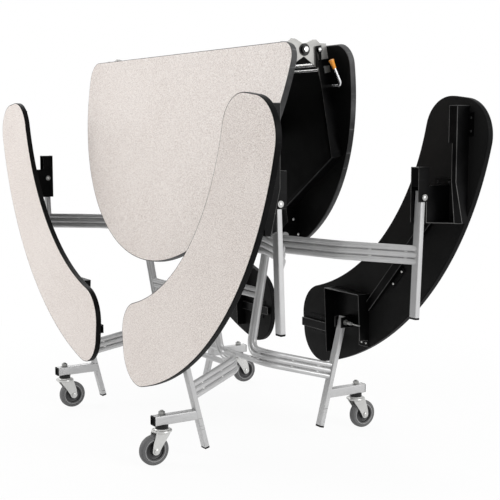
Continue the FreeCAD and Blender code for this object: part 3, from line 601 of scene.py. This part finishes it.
def plate(loop, to_table, low, high, bevel):
    """Flat plate with bevelled rims: the outline moved in by the bevel at both faces."""
    moved = loop - loop_normals(loop) * bevel
    rings = [to_table(ring[:, 0], ring[:, 1], np.full(len(ring), level)) for ring, level in
             ((moved, low), (loop, low + bevel), (loop, high - bevel), (moved, high))]
    count = len(loop)
    faces = grid_faces(4, count, close_rows=False).tolist()
    faces += [list(range(count)), list(range(3 * count, 4 * count))]
    return np.concatenate(rings), faces


ends = [turned(SHAFT_END, (0.0, v * END_Y, HINGE_Z), (0.0, v, 0.0), 32) for v in ENDS]
piece("shaft_ends", ends, zinc, "centre_hinge")

# ---------------------------------------- lift rods
# A bright torsion rod with a thinner stop rod beside it ties the two rails of
# each half together near the hinge.  Bent clips bolted to the rails hold them.

dress(zinc, "near_lift_rods", "far_lift_rods")


def beside(u, v, s, n, y):
    """Table-frame points of an outline in s and n, at the distance y towards one end of a half."""
    return on_half(u, s, v * y, n)


CLIP_BEVEL = 0.0003
CLIP_ARMS = np.array([(0.058, 0.064), (0.080, 0.064), (0.080, 0.069), (0.065, 0.069), (0.065, 0.081),
                      (0.080, 0.081), (0.080, 0.087), (0.058, 0.087)])
CLIP_BACK = CLIP_ARMS[[0, 1, 6, 7]] + (0.006, 0.0)
CLIP_BOLT = [(0.0, 0.0), (0.003, 0.0), (0.003, 0.0166), (0.0, 0.0166)]
BOLT_S, BOLT_N = 0.0655, 0.0665
# Distances out from the web: both faces of the arms and of the back, and the start of the bolt.
ARMS_IN, ARMS_OUT, BACK_IN, BACK_OUT, BOLT_IN = -0.0080, -0.0058, 0.0064, 0.0084, -0.0081
for side, u in SIDES:
    web = WEB_Y[side]
    clips = []
    for v in ENDS:
        to_end = partial(beside, u, v)
        clips.append(plate(CLIP_ARMS, to_end, web + ARMS_IN, web + ARMS_OUT, CLIP_BEVEL))
        clips.append(plate(CLIP_BACK, to_end, web + BACK_IN, web + BACK_OUT, CLIP_BEVEL))
        clips.append(turned(CLIP_BOLT, to_end(BOLT_S, BOLT_N, web + BOLT_IN)[0], (0.0, v, 0.0), 16))
    piece(side + "_rod_clips", clips, screw_zinc, side + "_top", 30.0)

# ---------------------------------------- latch and stop bar
# A chromed rod is bent up at the right-hand end of the far half and ends in a
# tapered orange grip.  A slotted stop bar limits how far the halves open.

chrome = bright_finish("latch_chrome", (0.86, 0.86, 0.87), (0.74, 0.74, 0.75), (0.10, 0.22), bump=0.00002)
dress(chrome, "latch_rod")
dress(steel_black, "stop_link")
grip_orange = plain_finish("grip_orange", (0.86, 0.36, 0.035), (0.70, 0.25, 0.020), (0.36, 0.55), 900.0,
                           0.0001, 1.0, {"Specular IOR Level": 0.5}, mask="Scratches")
LATCH_Y = -0.728
GRIP_SHARE = 0.66
RIB = 0.0003
knee = on_half(1.0, 0.128, LATCH_Y, 0.070)[0]
tip = on_half(1.0, 0.042, LATCH_Y, 0.043)[0]
# The grip is a cone whose every second ring is drawn in.
ribs = [(0.0056 + 0.0027 * t - RIB * (i % 2), 0.0030 + 0.0215 * t)
        for i, t in enumerate(np.linspace(0.0, 1.0, 19))]
nose = [(0.0090, 0.0262), (0.0092, 0.0278), (0.0084, 0.0292), (0.0064, 0.0299), (0.0, 0.0299)]
grip = turned([(0.0, 0.0), (0.0050, 0.0), (0.0056, 0.0012)] + ribs + nose,
              knee + GRIP_SHARE * (tip - knee), tip - knee, 40)
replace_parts(piece("ribbed_grip", [grip], grip_orange, "latch"), "latch_grip")
STOP_BOLT = (0.0070, 0.0036)
bolt = on_half(1.0, 0.009, -END_Y, 0.054)[0]
piece("stop_bolt", [pan_head(bolt, (0.0, -1.0, 0.0), *STOP_BOLT)], zinc, "far_top", 30.0)

# ---------------------------------------- leg frames
# Each frame has two rectangular posts and a ribbon of three stacked round tubes,
# welded together and painted silver-grey.  Black plugs close the feet.


def silver_finish():
    """Silver paint: two close greys in soft patches, orange-peel skin, darker scuffs near the floor."""
    made, tree, coords, shader, worn = new_finish("frame_silver", 360.0, {"Metallic": 0.35})
    colour = blend(tree, worn, "Patches", (0.545, 0.545, 0.545), (0.470, 0.470, 0.472))
    split = add_node(tree, "ShaderNodeSeparateXYZ")
    link(tree, coords, "Object", split, 0)
    low = add_node(tree, "ShaderNodeMapRange", {"From Min": 0.19, "From Max": 0.03})
    link(tree, split, "Z", low, 0)
    scuff = add_node(tree, "ShaderNodeMath", operation="MULTIPLY")
    link(tree, low, 0, scuff, 0)
    link(tree, worn, "Scratches", scuff, 1)
    dirty = add_node(tree, "ShaderNodeMix", {MIX_B: (0.16, 0.155, 0.15, 1.0)}, data_type="RGBA")
    link(tree, scuff, 0, dirty, 0)
    link(tree, colour, MIX_OUT, dirty, MIX_A)
    link(tree, dirty, MIX_OUT, shader, "Base Color")
    link(tree, rough_from(tree, worn, "Patches", 0.33, 0.44), 0, shader, "Roughness")
    relief(tree, worn, "Height", shader, 0.00010)
    return made


silver = silver_finish()
plug_black = black_finish("plug_black", (0.0020, 0.0020, 0.0021), (0.0050, 0.0050, 0.0052), 500.0, 0.0001,
                          (0.45, 0.62), 0.10)
for side, u in SIDES:
    dress(silver, side + "_lower_ribbon", side + "_upper_ribbon")

LOWER_FOOT = (0.23686, 0.0290)
LOWER_TILT = math.radians(14.4)
UPPER_FOOT = (0.25591, 0.49638)
UPPER_TILT = math.radians(2.3)


def on_frame(u, foot, tilt, x, y, z):
    """Table-frame points from a leg frame's own x, y, z: turned by its tilt, moved to its foot."""
    rx = x * math.cos(tilt) + z * math.sin(tilt)
    rz = z * math.cos(tilt) - x * math.sin(tilt)
    return np.stack([u * (foot[0] + rx), y, foot[1] + rz], axis=-1).reshape(-1, 3)


def rounded_ring(hx, hy, radius, steps=6):
    """Rounded rectangle of half sizes hx and hy: four corner arcs, counter-clockwise."""
    radius = min(radius, hx, hy)
    corners = ((hx - radius, hy - radius, 0.0), (radius - hx, hy - radius, 90.0),
               (radius - hx, radius - hy, 180.0), (hx - radius, radius - hy, 270.0))
    return np.concatenate([arc(cx, cy, radius, a, a + 90.0, steps) for cx, cy, a in corners])


def bar(hx, hy, radius, rows, to_table):
    """Bar of rounded-rectangle rings, one for each (inset, height) row, with flat closed ends."""
    rings = []
    for inset, height in rows:
        ring = rounded_ring(hx - inset, hy - inset, max(radius - inset, 0.0002))
        rings.append(to_table(ring[:, 0], ring[:, 1], np.full(len(ring), height)))
    count = len(rings[0])
    faces = grid_faces(len(rows), count, close_rows=False).tolist()
    faces += [list(range(count)), list(range((len(rows) - 1) * count, len(rows) * count))]
    return np.concatenate(rings), faces


def on_post(u, v, foot, tilt, post_y, x, y, z):
    """Table-frame points of a post: its own x, y, z carried to its place in a leg frame."""
    return on_frame(u, foot, tilt, x, v * (post_y + y), z)


def post_rows(height):
    """(inset, height) rows of a post tube, eased in where the foot plug starts and at the top."""
    shaft = [(0.0, z) for z in np.linspace(0.05, height - 0.004, 8)]
    return [(0.0008, 0.0060), (0.0, 0.0066)] + shaft + [(0.0003, height - 0.0012), (0.0014, height)]


def on_arm(u, v, shift, y, z, x):
    """Table-frame points of an arm along x: z from its middle, and y from it with the shift added."""
    return np.stack([u * x, v * (ARM_Y + (y + shift)), ARM_Z + z], axis=-1).reshape(-1, 3)


POST = (0.0090, 0.0155, 0.0032)
SOLE = [(0.0012, 0.0), (0.0003, 0.0004), (0.0, 0.0012), (0.0, 0.0060)]
ARM_Y, ARM_Z, ARM_HALF, ARM_TIP = 0.419, 0.149, 0.016, 0.432
ARM = (ARM_HALF, ARM_HALF, 0.0036)
ARM_ROWS = [(0.0, 0.268), (0.0, 0.300), (0.0, 0.350), (0.0, 0.400), (0.0, ARM_TIP - 0.0006),
            (0.0006, ARM_TIP), (0.0020, ARM_TIP), (0.0025, ARM_TIP - 0.0005), (0.0025, ARM_TIP - 0.018)]
CAP_ROWS = [(0.0030, ARM_TIP - 0.011), (0.0030, ARM_TIP), (0.0, ARM_TIP), (0.0, ARM_TIP + 0.0020),
            (0.0010, ARM_TIP + 0.0030), (0.0040, ARM_TIP + 0.0030), (0.0048, ARM_TIP + 0.0022),
            (0.0050, ARM_TIP - 0.010)]
CAP_RIB = (0.0009, ARM_HALF - 0.0049, 0.0003)
CAP_RIB_Y = 0.0036
RIB_ROWS = [(0.0, ARM_TIP - 0.010), (0.0, ARM_TIP + 0.0008), (0.0003, ARM_TIP + 0.0012)]
# Foot, tilt, distance of the posts from the middle, and height of the posts.
posts = {"lower": (LOWER_FOOT, LOWER_TILT, 0.421, 0.409), "upper": (UPPER_FOOT, UPPER_TILT, 0.908, 0.41101)}
for side, u in SIDES:
    for kind, (foot, tilt, post_y, height) in posts.items():
        steel, plastic = [], []
        for v in ENDS:
            upright = partial(on_post, u, v, foot, tilt, post_y)
            steel.append(bar(*POST, post_rows(height), upright))
            plastic.append(bar(*POST, SOLE, upright))
            if kind == "lower":
                steel.append(bar(*ARM, ARM_ROWS, partial(on_arm, u, v, 0.0)))
                plastic.append(bar(*ARM, CAP_ROWS, partial(on_arm, u, v, 0.0)))
                for w in ENDS:
                    plastic.append(bar(*CAP_RIB, RIB_ROWS, partial(on_arm, u, v, w * CAP_RIB_Y)))
        where = side + "_" + kind
        body = where + "_frame"
        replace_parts(piece(where + "_post_tubes", steel, silver, body), where + "_posts")
        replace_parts(piece(where + "_foot_plugs", plastic, plug_black, body), where + "_plugs")


def bead(centre, along, up, length, width, height):
    """Weld bead: ellipsoid with half axes length, height and width, lengthened along a tube."""
    rings, spokes = 7, 12
    p = np.linspace(0.0, math.pi, rings)[:, None]
    a = np.linspace(0.0, 2.0 * math.pi, spokes, endpoint=False)[None, :]
    lx, ly, lz = np.cos(p) * np.ones_like(a), np.sin(p) * np.cos(a), np.sin(p) * np.sin(a)
    along, up = np.asarray(along, float), np.asarray(up, float)
    along /= np.linalg.norm(along)
    side = np.cross(along, up)
    side /= np.linalg.norm(side)
    up = np.cross(side, along)
    points = (np.asarray(centre, float) + (lx * length)[..., None] * along
              + (ly * width)[..., None] * side + (lz * height)[..., None] * up)
    return points.reshape(-1, 3), grid_faces(rings, spokes, close_rows=False)


weld_bright = bright_finish("weld_bright", (0.74, 0.74, 0.73), (0.55, 0.55, 0.54), (0.30, 0.48), metallic=0.8)
TUBE_PITCH = 0.0206
TUBE_Z = 0.206
WELD_OUT = 0.0035
WELD = (0.006, 0.0026, 0.0022)
# Plan of each ribbon from a post to the middle, and (leg, share of the leg) of its welds.
ribbons = {"lower": (LOWER_FOOT, LOWER_TILT, [(0.0, 0.421), (-0.235, 0.345), (-0.235, 0.0)]),
           "upper": (UPPER_FOOT, UPPER_TILT,
                     [(0.0, 0.908), (-0.1495, 0.705), (-0.2284, 0.480), (-0.2284, 0.0)])}
welds = {"lower": [(0, 0.22), (0, 0.62), (1, 0.16), (1, 0.30)],
         "upper": [(0, 0.15), (0, 0.62), (1, 0.45), (2, 0.30)]}
for side, u in SIDES:
    for kind, (foot, tilt, plan) in ribbons.items():
        beads = []
        for v in ENDS:
            for leg, share in welds[kind]:
                p, q = np.array(plan[leg]), np.array(plan[leg + 1])
                at = p + share * (q - p)
                run = (q - p) / np.linalg.norm(q - p)
                for w in (1.0, -1.0):
                    off = np.array([-run[1], run[0]]) * w * WELD_OUT
                    for level in (-0.5, 0.5):
                        z = TUBE_Z + level * TUBE_PITCH
                        spot = on_frame(u, foot, tilt, at[0] + off[0], v * (at[1] + off[1]), z)[0]
                        ahead = on_frame(u, foot, tilt, at[0] + run[0], v * (at[1] + run[1]), z)[0] - spot
                        over = on_frame(u, foot, tilt, at[0], v * at[1], z + 1.0)[0] - spot
                        beads.append(bead(spot, ahead, over, *WELD))
        where = side + "_" + kind
        piece(where + "_weld_dots", beads, weld_bright, where + "_frame", 60.0)

# ---------------------------------------- benches
# Four curved seats of the same laminated board and black moulded band as the
# table, hung upright from pins in the leg posts.

BENCH_FACE = 0.3966
BENCH_AXIS_Z = 1.317079
# Inner and outer radius, angle of the straight ends in degrees, and radius of the corners.
BENCH_RI, BENCH_RO, BENCH_END, BENCH_CORNER = 0.834, 1.124, 6.8, 0.119
# Each bench of a half and its sign along Y.
HANDS = (("right", -1.0), ("left", 1.0))
for side, u in SIDES:
    laminate = board_finish(side + "_bench_laminate", (u, 0.0, 0.0), BENCH_FACE - SKIN_DEPTH, 0.0065)
    dress(laminate, side + "_right_bench_board", side + "_left_bench_board")


def on_bench(u, v, along, across, n):
    """Table-frame points from a bench's own plan (along, across) and height n above its face."""
    return np.stack([u * (BENCH_FACE + n), v * across, BENCH_AXIS_Z - along], axis=-1).reshape(-1, 3)


def bench_outline():
    """Ring sector with rounded corners: two long arcs joined by four corner arcs."""
    inner, outer = BENCH_RI + BENCH_CORNER, BENCH_RO - BENCH_CORNER
    ai = BENCH_END + math.degrees(math.asin(BENCH_CORNER / inner))
    ao = BENCH_END + math.degrees(math.asin(BENCH_CORNER / outer))
    rounds = ((outer, ao, BENCH_END - 90.0, ao), (outer, 90.0 - ao, 90.0 - ao, 180.0 - BENCH_END),
              (inner, 90.0 - ai, 180.0 - BENCH_END, 270.0 - ai), (inner, ai, 180.0 + ai, 270.0 + BENCH_END))
    corners = []
    for radius, angle, first, last in rounds:
        a = math.radians(angle)
        corners.append(arc(radius * math.cos(a), radius * math.sin(a), BENCH_CORNER, first, last, 30))
    outer_run = arc(0.0, 0.0, BENCH_RO, ao, 90.0 - ao, 90)
    inner_run = arc(0.0, 0.0, BENCH_RI, 90.0 - ai, ai, 70)
    return clean_loop(np.concatenate([corners[0], outer_run, corners[1], corners[2], inner_run, corners[3]]))


bench_loop = bench_outline()
# A darker copy of the same moulded band for the benches: painted shade.
shaded_bench_band = black_finish("bench_band_black", (0.0016, 0.0016, 0.0017), (0.0060, 0.0060, 0.0062), 420.0,
                          0.00030, (0.42, 0.58), 0.06)
for side, u in SIDES:
    for hand, v in HANDS:
        where = side + "_" + hand + "_bench"
        made = piece(where + "_edge_band", [band(bench_loop, partial(on_bench, u, v), -BOARD, 0.0)],
                     shaded_bench_band, where)
        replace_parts(made, where + "_edging")

# ---------------------------------------- bench brackets and pins
# Pressed black steel brackets and hat channels are screwed up under each bench,
# and bright headed pins run through them and the leg posts.

EDGE_R = 0.0012
pin_steel = bright_finish("pin_steel", (0.52, 0.52, 0.51), (0.30, 0.30, 0.295), (0.28, 0.46), metallic=0.7)
# Lighter material for thin rods along the black steel's edges: a painted highlight.
painted_edge_highlight = black_finish("painted_edge_highlight", (0.012, 0.012, 0.012), (0.120, 0.119, 0.116), 500.0, 0.0001,
                         (0.34, 0.55), 0.5)


def edge_runs(runs, to_table, radius):
    """Thin round edges along polylines: one closed rod for each straight piece."""
    rods = []
    for run in runs:
        spots = [to_table(*point)[0] for point in run]
        for p, q in zip(spots, spots[1:]):
            length = float(np.linalg.norm(q - p))
            rods.append(turned([(0.0, 0.0), (radius, 0.0), (radius, length), (0.0, length)], p, q - p, 8))
    return rods


# Points (along, across, height) of the steel's bent edges.  Heights: its root on the
# board, and the crests of the wide bracket, the pin's cheeks, the fork and the hat channels.
ROOT, WIDE, CHEEK, FORK, HAT = -0.0205, -0.0695, -0.0815, -0.1475, -0.0335
wide_bracket = [
    [(0.8005, 0.3195, WIDE), (0.8005, 0.5225, WIDE), (0.966, 0.5225, -0.0610), (0.966, 0.5225, ROOT)],
    [(0.8005, 0.3195, WIDE), (1.0395, 0.3195, -0.0575), (1.0395, 0.3195, ROOT)],
    [(0.8005, 0.3195, ROOT), (0.8005, 0.3195, WIDE)],
    [(0.8005, 0.5225, ROOT), (0.8005, 0.5225, WIDE)],
    [(0.966, 0.470, -0.0225), (0.992, 0.470, -0.0225), (0.992, 0.524, -0.0225)]]
CHEEKS_ACROSS = (0.439, 0.403)
pin_cheeks = [[(0.893, c, ROOT), (0.893, c, CHEEK), (0.930, c, CHEEK), (0.930, c, ROOT)]
              for c in CHEEKS_ACROSS]
pin_fork = [
    [(0.3355, 0.890, FORK), (0.510, 0.890, FORK), (0.510, 0.890, ROOT)],
    [(0.3355, 0.926, FORK), (0.4435, 0.926, FORK), (0.4435, 0.926, -0.1145), (0.510, 0.926, -0.1145)],
    [(0.3355, 0.890, FORK), (0.3355, 0.926, FORK)],
    [(0.510, 0.926, -0.1145), (0.510, 0.990, -0.0560)]]
end_channel = [
    [(0.1435, 0.9745, WIDE), (0.2585, 0.9745, WIDE)],
    [(0.1435, 1.0095, WIDE), (0.380, 1.0095, WIDE)],
    [(0.1435, 0.9745, ROOT), (0.1435, 0.9745, WIDE), (0.1435, 1.0095, WIDE), (0.1435, 1.0095, ROOT)],
    [(0.2595, 0.9905, WIDE), (0.380, 0.9905, WIDE), (0.5105, 0.9905, -0.0555), (0.5105, 1.0095, -0.0395),
     (0.380, 1.0095, WIDE)]]
low_channel = [
    [(0.942, 0.1255, HAT), (0.942, 0.318, HAT)],
    [(0.972, 0.1255, HAT), (0.972, 0.318, HAT)],
    [(0.942, 0.1255, HAT), (0.972, 0.1255, HAT)]]
diagonal_channel = [
    [(0.8563, 0.5369, HAT), (0.5193, 0.8559, HAT)],
    [(0.8357, 0.5151, HAT), (0.4987, 0.8341, HAT)]]
bench_edges = wide_bracket + pin_cheeks + pin_fork + end_channel + low_channel + diagonal_channel
BENCH_SCREW = (0.0044, 0.0026)
BRIGHT_SCREWS = [(0.979, 0.485), (0.979, 0.510), (0.699, 0.701), (0.746, 0.657)]
BLACK_SCREWS = [(0.385, 0.875), (0.385, 0.928), (0.931, 0.187), (0.931, 0.237),
                (0.983, 0.195), (0.983, 0.248), (0.181, 1.021), (0.222, 1.021)]
screw_sets = ((BRIGHT_SCREWS, screw_zinc, "_bench_screws", "bright_steel"),
              (BLACK_SCREWS, bush_black, "_black_screws", "black_steel"))
PIN_ALONG, PIN_ACROSS, PIN_N, PIN_HALF = 0.430, 0.908, -0.125, 0.0234
RIVET = [(0.0, 0.0), (0.0048, 0.0), (0.0046, 0.0009), (0.0034, 0.0017), (0.0, 0.0020)]
for side, u in SIDES:
    for hand, v in HANDS:
        where = side + "_" + hand
        body = where + "_bench"
        dress(steel_black, where + "_bench_steel")
        dress(pin_steel, where + "_bench_pins")
        for spots, finish, kind, slot in screw_sets:
            heads = [pan_head(on_bench(u, v, a, c, -BOARD - SHEET)[0], (-u, 0.0, 0.0), *BENCH_SCREW)
                     for a, c in spots]
            piece(where + kind, heads, finish, body, 25.0)
        rivets = [turned(RIVET, on_bench(u, v, PIN_ALONG, PIN_ACROSS + w * PIN_HALF, PIN_N)[0],
                         (0.0, v * w, 0.0), 24) for w in ENDS]
        piece(where + "_pin_rivets", rivets, zinc, body, 30.0)
        # Painted highlights: thin lighter rods along the bent edges of the brackets and channels.
        edges = edge_runs(bench_edges, partial(on_bench, u, v), EDGE_R)
        piece(where + "_bench_worn_edges", edges, painted_edge_highlight, body, 60.0)

# ---------------------------------------- painted rail edge highlights
# Thin lighter rods run along the lips of the rails and along the plates beside the hinge: painted highlights
# for the light these black steel edges catch.

LIP = 0.0485
for side, u in SIDES:
    web = WEB_Y[side] + 0.002
    rim = WEB_Y[side] + (0.006 if side == "near" else -0.002)
    rail_edge = [(0.0425, LIP, web), (0.360, LIP, web), (0.547, LIP, 0.327), (0.678, LIP, 0.327)]
    plate_edge = [(0.137, 0.0545, rim), (0.070, 0.0465, rim), (0.044, 0.0225, rim), (0.013, -0.0105, rim)]
    edges = []
    for v in ENDS:
        edges += edge_runs([rail_edge, plate_edge], partial(beside, u, v), EDGE_R)
    piece(side + "_rail_painted_edge_highlights", edges, painted_edge_highlight, side + "_top", 60.0)

# ---------------------------------------- casters
# Four swivel casters with pressed zinc forks under the ends of the lower frames'
# arms.  Each wheel is a grey rubber tyre on a darker moulded hub.

STEM_X, STEM_Y, TRAIL = 0.401, 0.419, 0.030
WHEEL_R = 0.051
TYRE_R, TREAD_HALF, TREAD_DROP = 0.05097, 0.0128, 0.0035
fork_zinc = bright_finish("fork_zinc", (0.66, 0.66, 0.645), (0.47, 0.47, 0.46), (0.26, 0.42), metallic=0.55)
# A darker copy of the plated zinc for the stem washers, nuts and threads: painted shade.
nut_zinc_painted_shade = bright_finish("nut_zinc_painted_shade", (0.40, 0.40, 0.39), (0.16, 0.16, 0.155), (0.20, 0.38), metallic=0.9)


def rubber_finish(name, tone, dust, rough):
    """Rubber or moulded plastic: its own tone, greyer with dust in the rubbed patches."""
    return plain_finish(name, tone, dust, rough, 650.0, 0.00018, 1.0, {"Specular IOR Level": 0.4})


tyre_grey = rubber_finish("tyre_grey", (0.100, 0.100, 0.102), (0.150, 0.150, 0.150), (0.55, 0.75))
ring_grey = rubber_finish("ring_grey", (0.280, 0.280, 0.282), (0.340, 0.340, 0.340), (0.40, 0.60))
hub_grey = rubber_finish("hub_grey", (0.024, 0.024, 0.025), (0.050, 0.050, 0.051), (0.35, 0.52))


def wheel_profiles():
    """(radius, offset from the middle) of tyre and hub, mirrored; the tread falls by TREAD_DROP * t^4."""
    t = np.linspace(-1.0, 1.0, 13)
    tread = np.stack([TYRE_R - TREAD_DROP * np.abs(t) ** 4.0, TREAD_HALF * t], axis=1)
    wall = np.array([(0.0462, 0.0144), (0.0435, 0.0150), (0.0400, 0.0150), (0.0385, 0.0138), (0.0352, 0.0134),
                     (0.0330, 0.0128)])
    tyre = np.concatenate([wall[::-1] * (1.0, -1.0), tread, wall])
    half = np.array([(0.0330, 0.0128), (0.0318, 0.0136), (0.0300, 0.0128), (0.0292, 0.0070), (0.0275, 0.0058),
                     (0.0170, 0.0062), (0.0152, 0.0090), (0.0140, 0.0158), (0.0070, 0.0162)])
    hub = np.concatenate([half[::-1] * (1.0, -1.0), half])
    return tyre, hub


def fork_outline():
    """Side outline of a fork leg: straight top, two tapering edges and an arc round the axle."""
    nose = arc(TRAIL, WHEEL_R, 0.0135, 20.0, -150.0, 18)
    front = [(0.0235, 0.1185), (0.0262, 0.1165), (0.0300, 0.1060), (0.0400, 0.0750), (0.0425, 0.0600)]
    back = [(0.0150, 0.0520), (0.0050, 0.0680), (-0.0080, 0.0860), (-0.0190, 0.1010), (-0.0220, 0.1080),
            (-0.0220, 0.1150), (-0.0195, 0.1185)]
    return clean_loop(np.array(front + nose.tolist() + back))[::-1]


def on_caster(foot, turn, w, x, z, y):
    """Table-frame points of a fork leg: x along the trail, z up and y to one side of the stem."""
    return np.stack([foot[0] + turn * x, foot[1] + w * y, z], axis=-1).reshape(-1, 3)


tyre_profile, hub_profile = wheel_profiles()
leg_loop = fork_outline()
# The direction along X in which each caster trails its stem.
trails = {("near", "right"): -1.0, ("near", "left"): 1.0, ("far", "right"): 1.0, ("far", "left"): 1.0}
# Profiles (radius, height above the floor) of what is turned about the stem.
crown = [(0.0064, 0.1062), (0.0240, 0.1062), (0.0268, 0.1075), (0.0270, 0.1190), (0.0255, 0.1208),
         (0.0064, 0.1208)]
race = [(0.0070, 0.1085), (0.0290, 0.1085), (0.0330, 0.1097), (0.0345, 0.1125), (0.0335, 0.1157),
        (0.0300, 0.1171), (0.0200, 0.1185), (0.0070, 0.1185)]
cup = [(0.0, 0.1213), (0.0200, 0.1213), (0.0219, 0.1225), (0.0219, 0.1312), (0.0205, 0.1328), (0.0, 0.1328)]
washer = [(0.0, 0.1651), (0.0126, 0.1651), (0.0130, 0.1656), (0.0130, 0.1666), (0.0122, 0.1671),
          (0.0, 0.1671)]
nut = [(0.0, 0.1671), (0.0098, 0.1671), (0.0110, 0.1682), (0.0110, 0.1768), (0.0094, 0.1780), (0.0, 0.1780)]
THREAD_R, THREAD_LOW, THREAD_STEP = 0.0060, 0.1660, 0.0006
coils = [(THREAD_R - THREAD_STEP * (i % 2), THREAD_LOW + THREAD_STEP * i) for i in range(26)]
thread = [(0.0, THREAD_LOW)] + coils + [(0.0, 0.1816)]
# Profiles (radius, distance from the wheel's middle) of what is turned about the axle.
LEG_IN, LEG_OUT, LEG_BEVEL = 0.0180, 0.0210, 0.0007
wheel_ring = [(0.0352, 0.0120), (0.0354, 0.0141), (0.0366, 0.0146), (0.0380, 0.0141), (0.0382, 0.0120)]
axle_rod = [(0.0, -LEG_OUT), (0.0055, -LEG_OUT), (0.0055, LEG_OUT), (0.0, LEG_OUT)]
axle_nut = [(0.0, 0.0), (0.0088, 0.0), (0.0092, 0.0008), (0.0092, 0.0042), (0.0078, 0.0050), (0.0, 0.0050)]
UP, ALONG = (0.0, 0.0, 1.0), (0.0, 1.0, 0.0)
for side, u in SIDES:
    cups, stems = [], []
    for hand, v in HANDS:
        where = side + "_" + hand
        body = where + "_wheel"
        foot = (u * STEM_X, v * STEM_Y, 0.0)
        turn = trails[(side, hand)]
        axle = (foot[0] + turn * TRAIL, foot[1], WHEEL_R)
        tyre = turned(tyre_profile, axle, ALONG, 72)
        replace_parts(piece(where + "_wheel_tyre", [tyre], tyre_grey, body), where + "_tyre")
        hub = turned(hub_profile, axle, ALONG, 56)
        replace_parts(piece(where + "_wheel_hub", [hub], hub_grey, body), where + "_hub")
        rings = [turned(wheel_ring, axle, (0.0, w, 0.0), 64) for w in ENDS]
        piece(where + "_wheel_rings", rings, ring_grey, body)
        fork = [turned(crown, foot, UP, 56), turned(race, foot, UP, 56)]
        for w in ENDS:
            fork.append(plate(leg_loop, partial(on_caster, foot, turn, w), LEG_IN, LEG_OUT, LEG_BEVEL))
            fork.append(turned(axle_nut, (axle[0], axle[1] + w * LEG_OUT, axle[2]), (0.0, w, 0.0), 6))
        fork.append(turned(axle_rod, axle, ALONG, 20))
        made = piece(where + "_pressed_fork", fork, fork_zinc, where + "_caster")
        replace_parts(made, where + "_fork")
        # The bearing cups are made black: painted shade for the dark gap between the arm and the race.
        cups.append(turned(cup, foot, UP, 48))
        stems += [turned(washer, foot, UP, 40), turned(nut, foot, UP, 6), turned(thread, foot, UP, 32)]
    piece(side + "_bearing_cups_painted_shade", cups, bush_black, side + "_lower_frame")
    made = piece(side + "_threaded_stems", stems, nut_zinc_painted_shade, side + "_lower_frame")
    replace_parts(made, side + "_caster_stems")

# ---------------------------------------- sizes
# Outer boxes of the plain parts and of the dressed table.


def as_lists(value):
    """The same value with its arrays and tuples as plain lists."""
    if isinstance(value, (int, float, str)) or value is None:
        return value
    if isinstance(value, dict):
        return {k: as_lists(v) for k, v in value.items()}
    return [as_lists(v) for v in value]


{"cad": as_lists(cad_box), "visual": as_lists(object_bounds())}
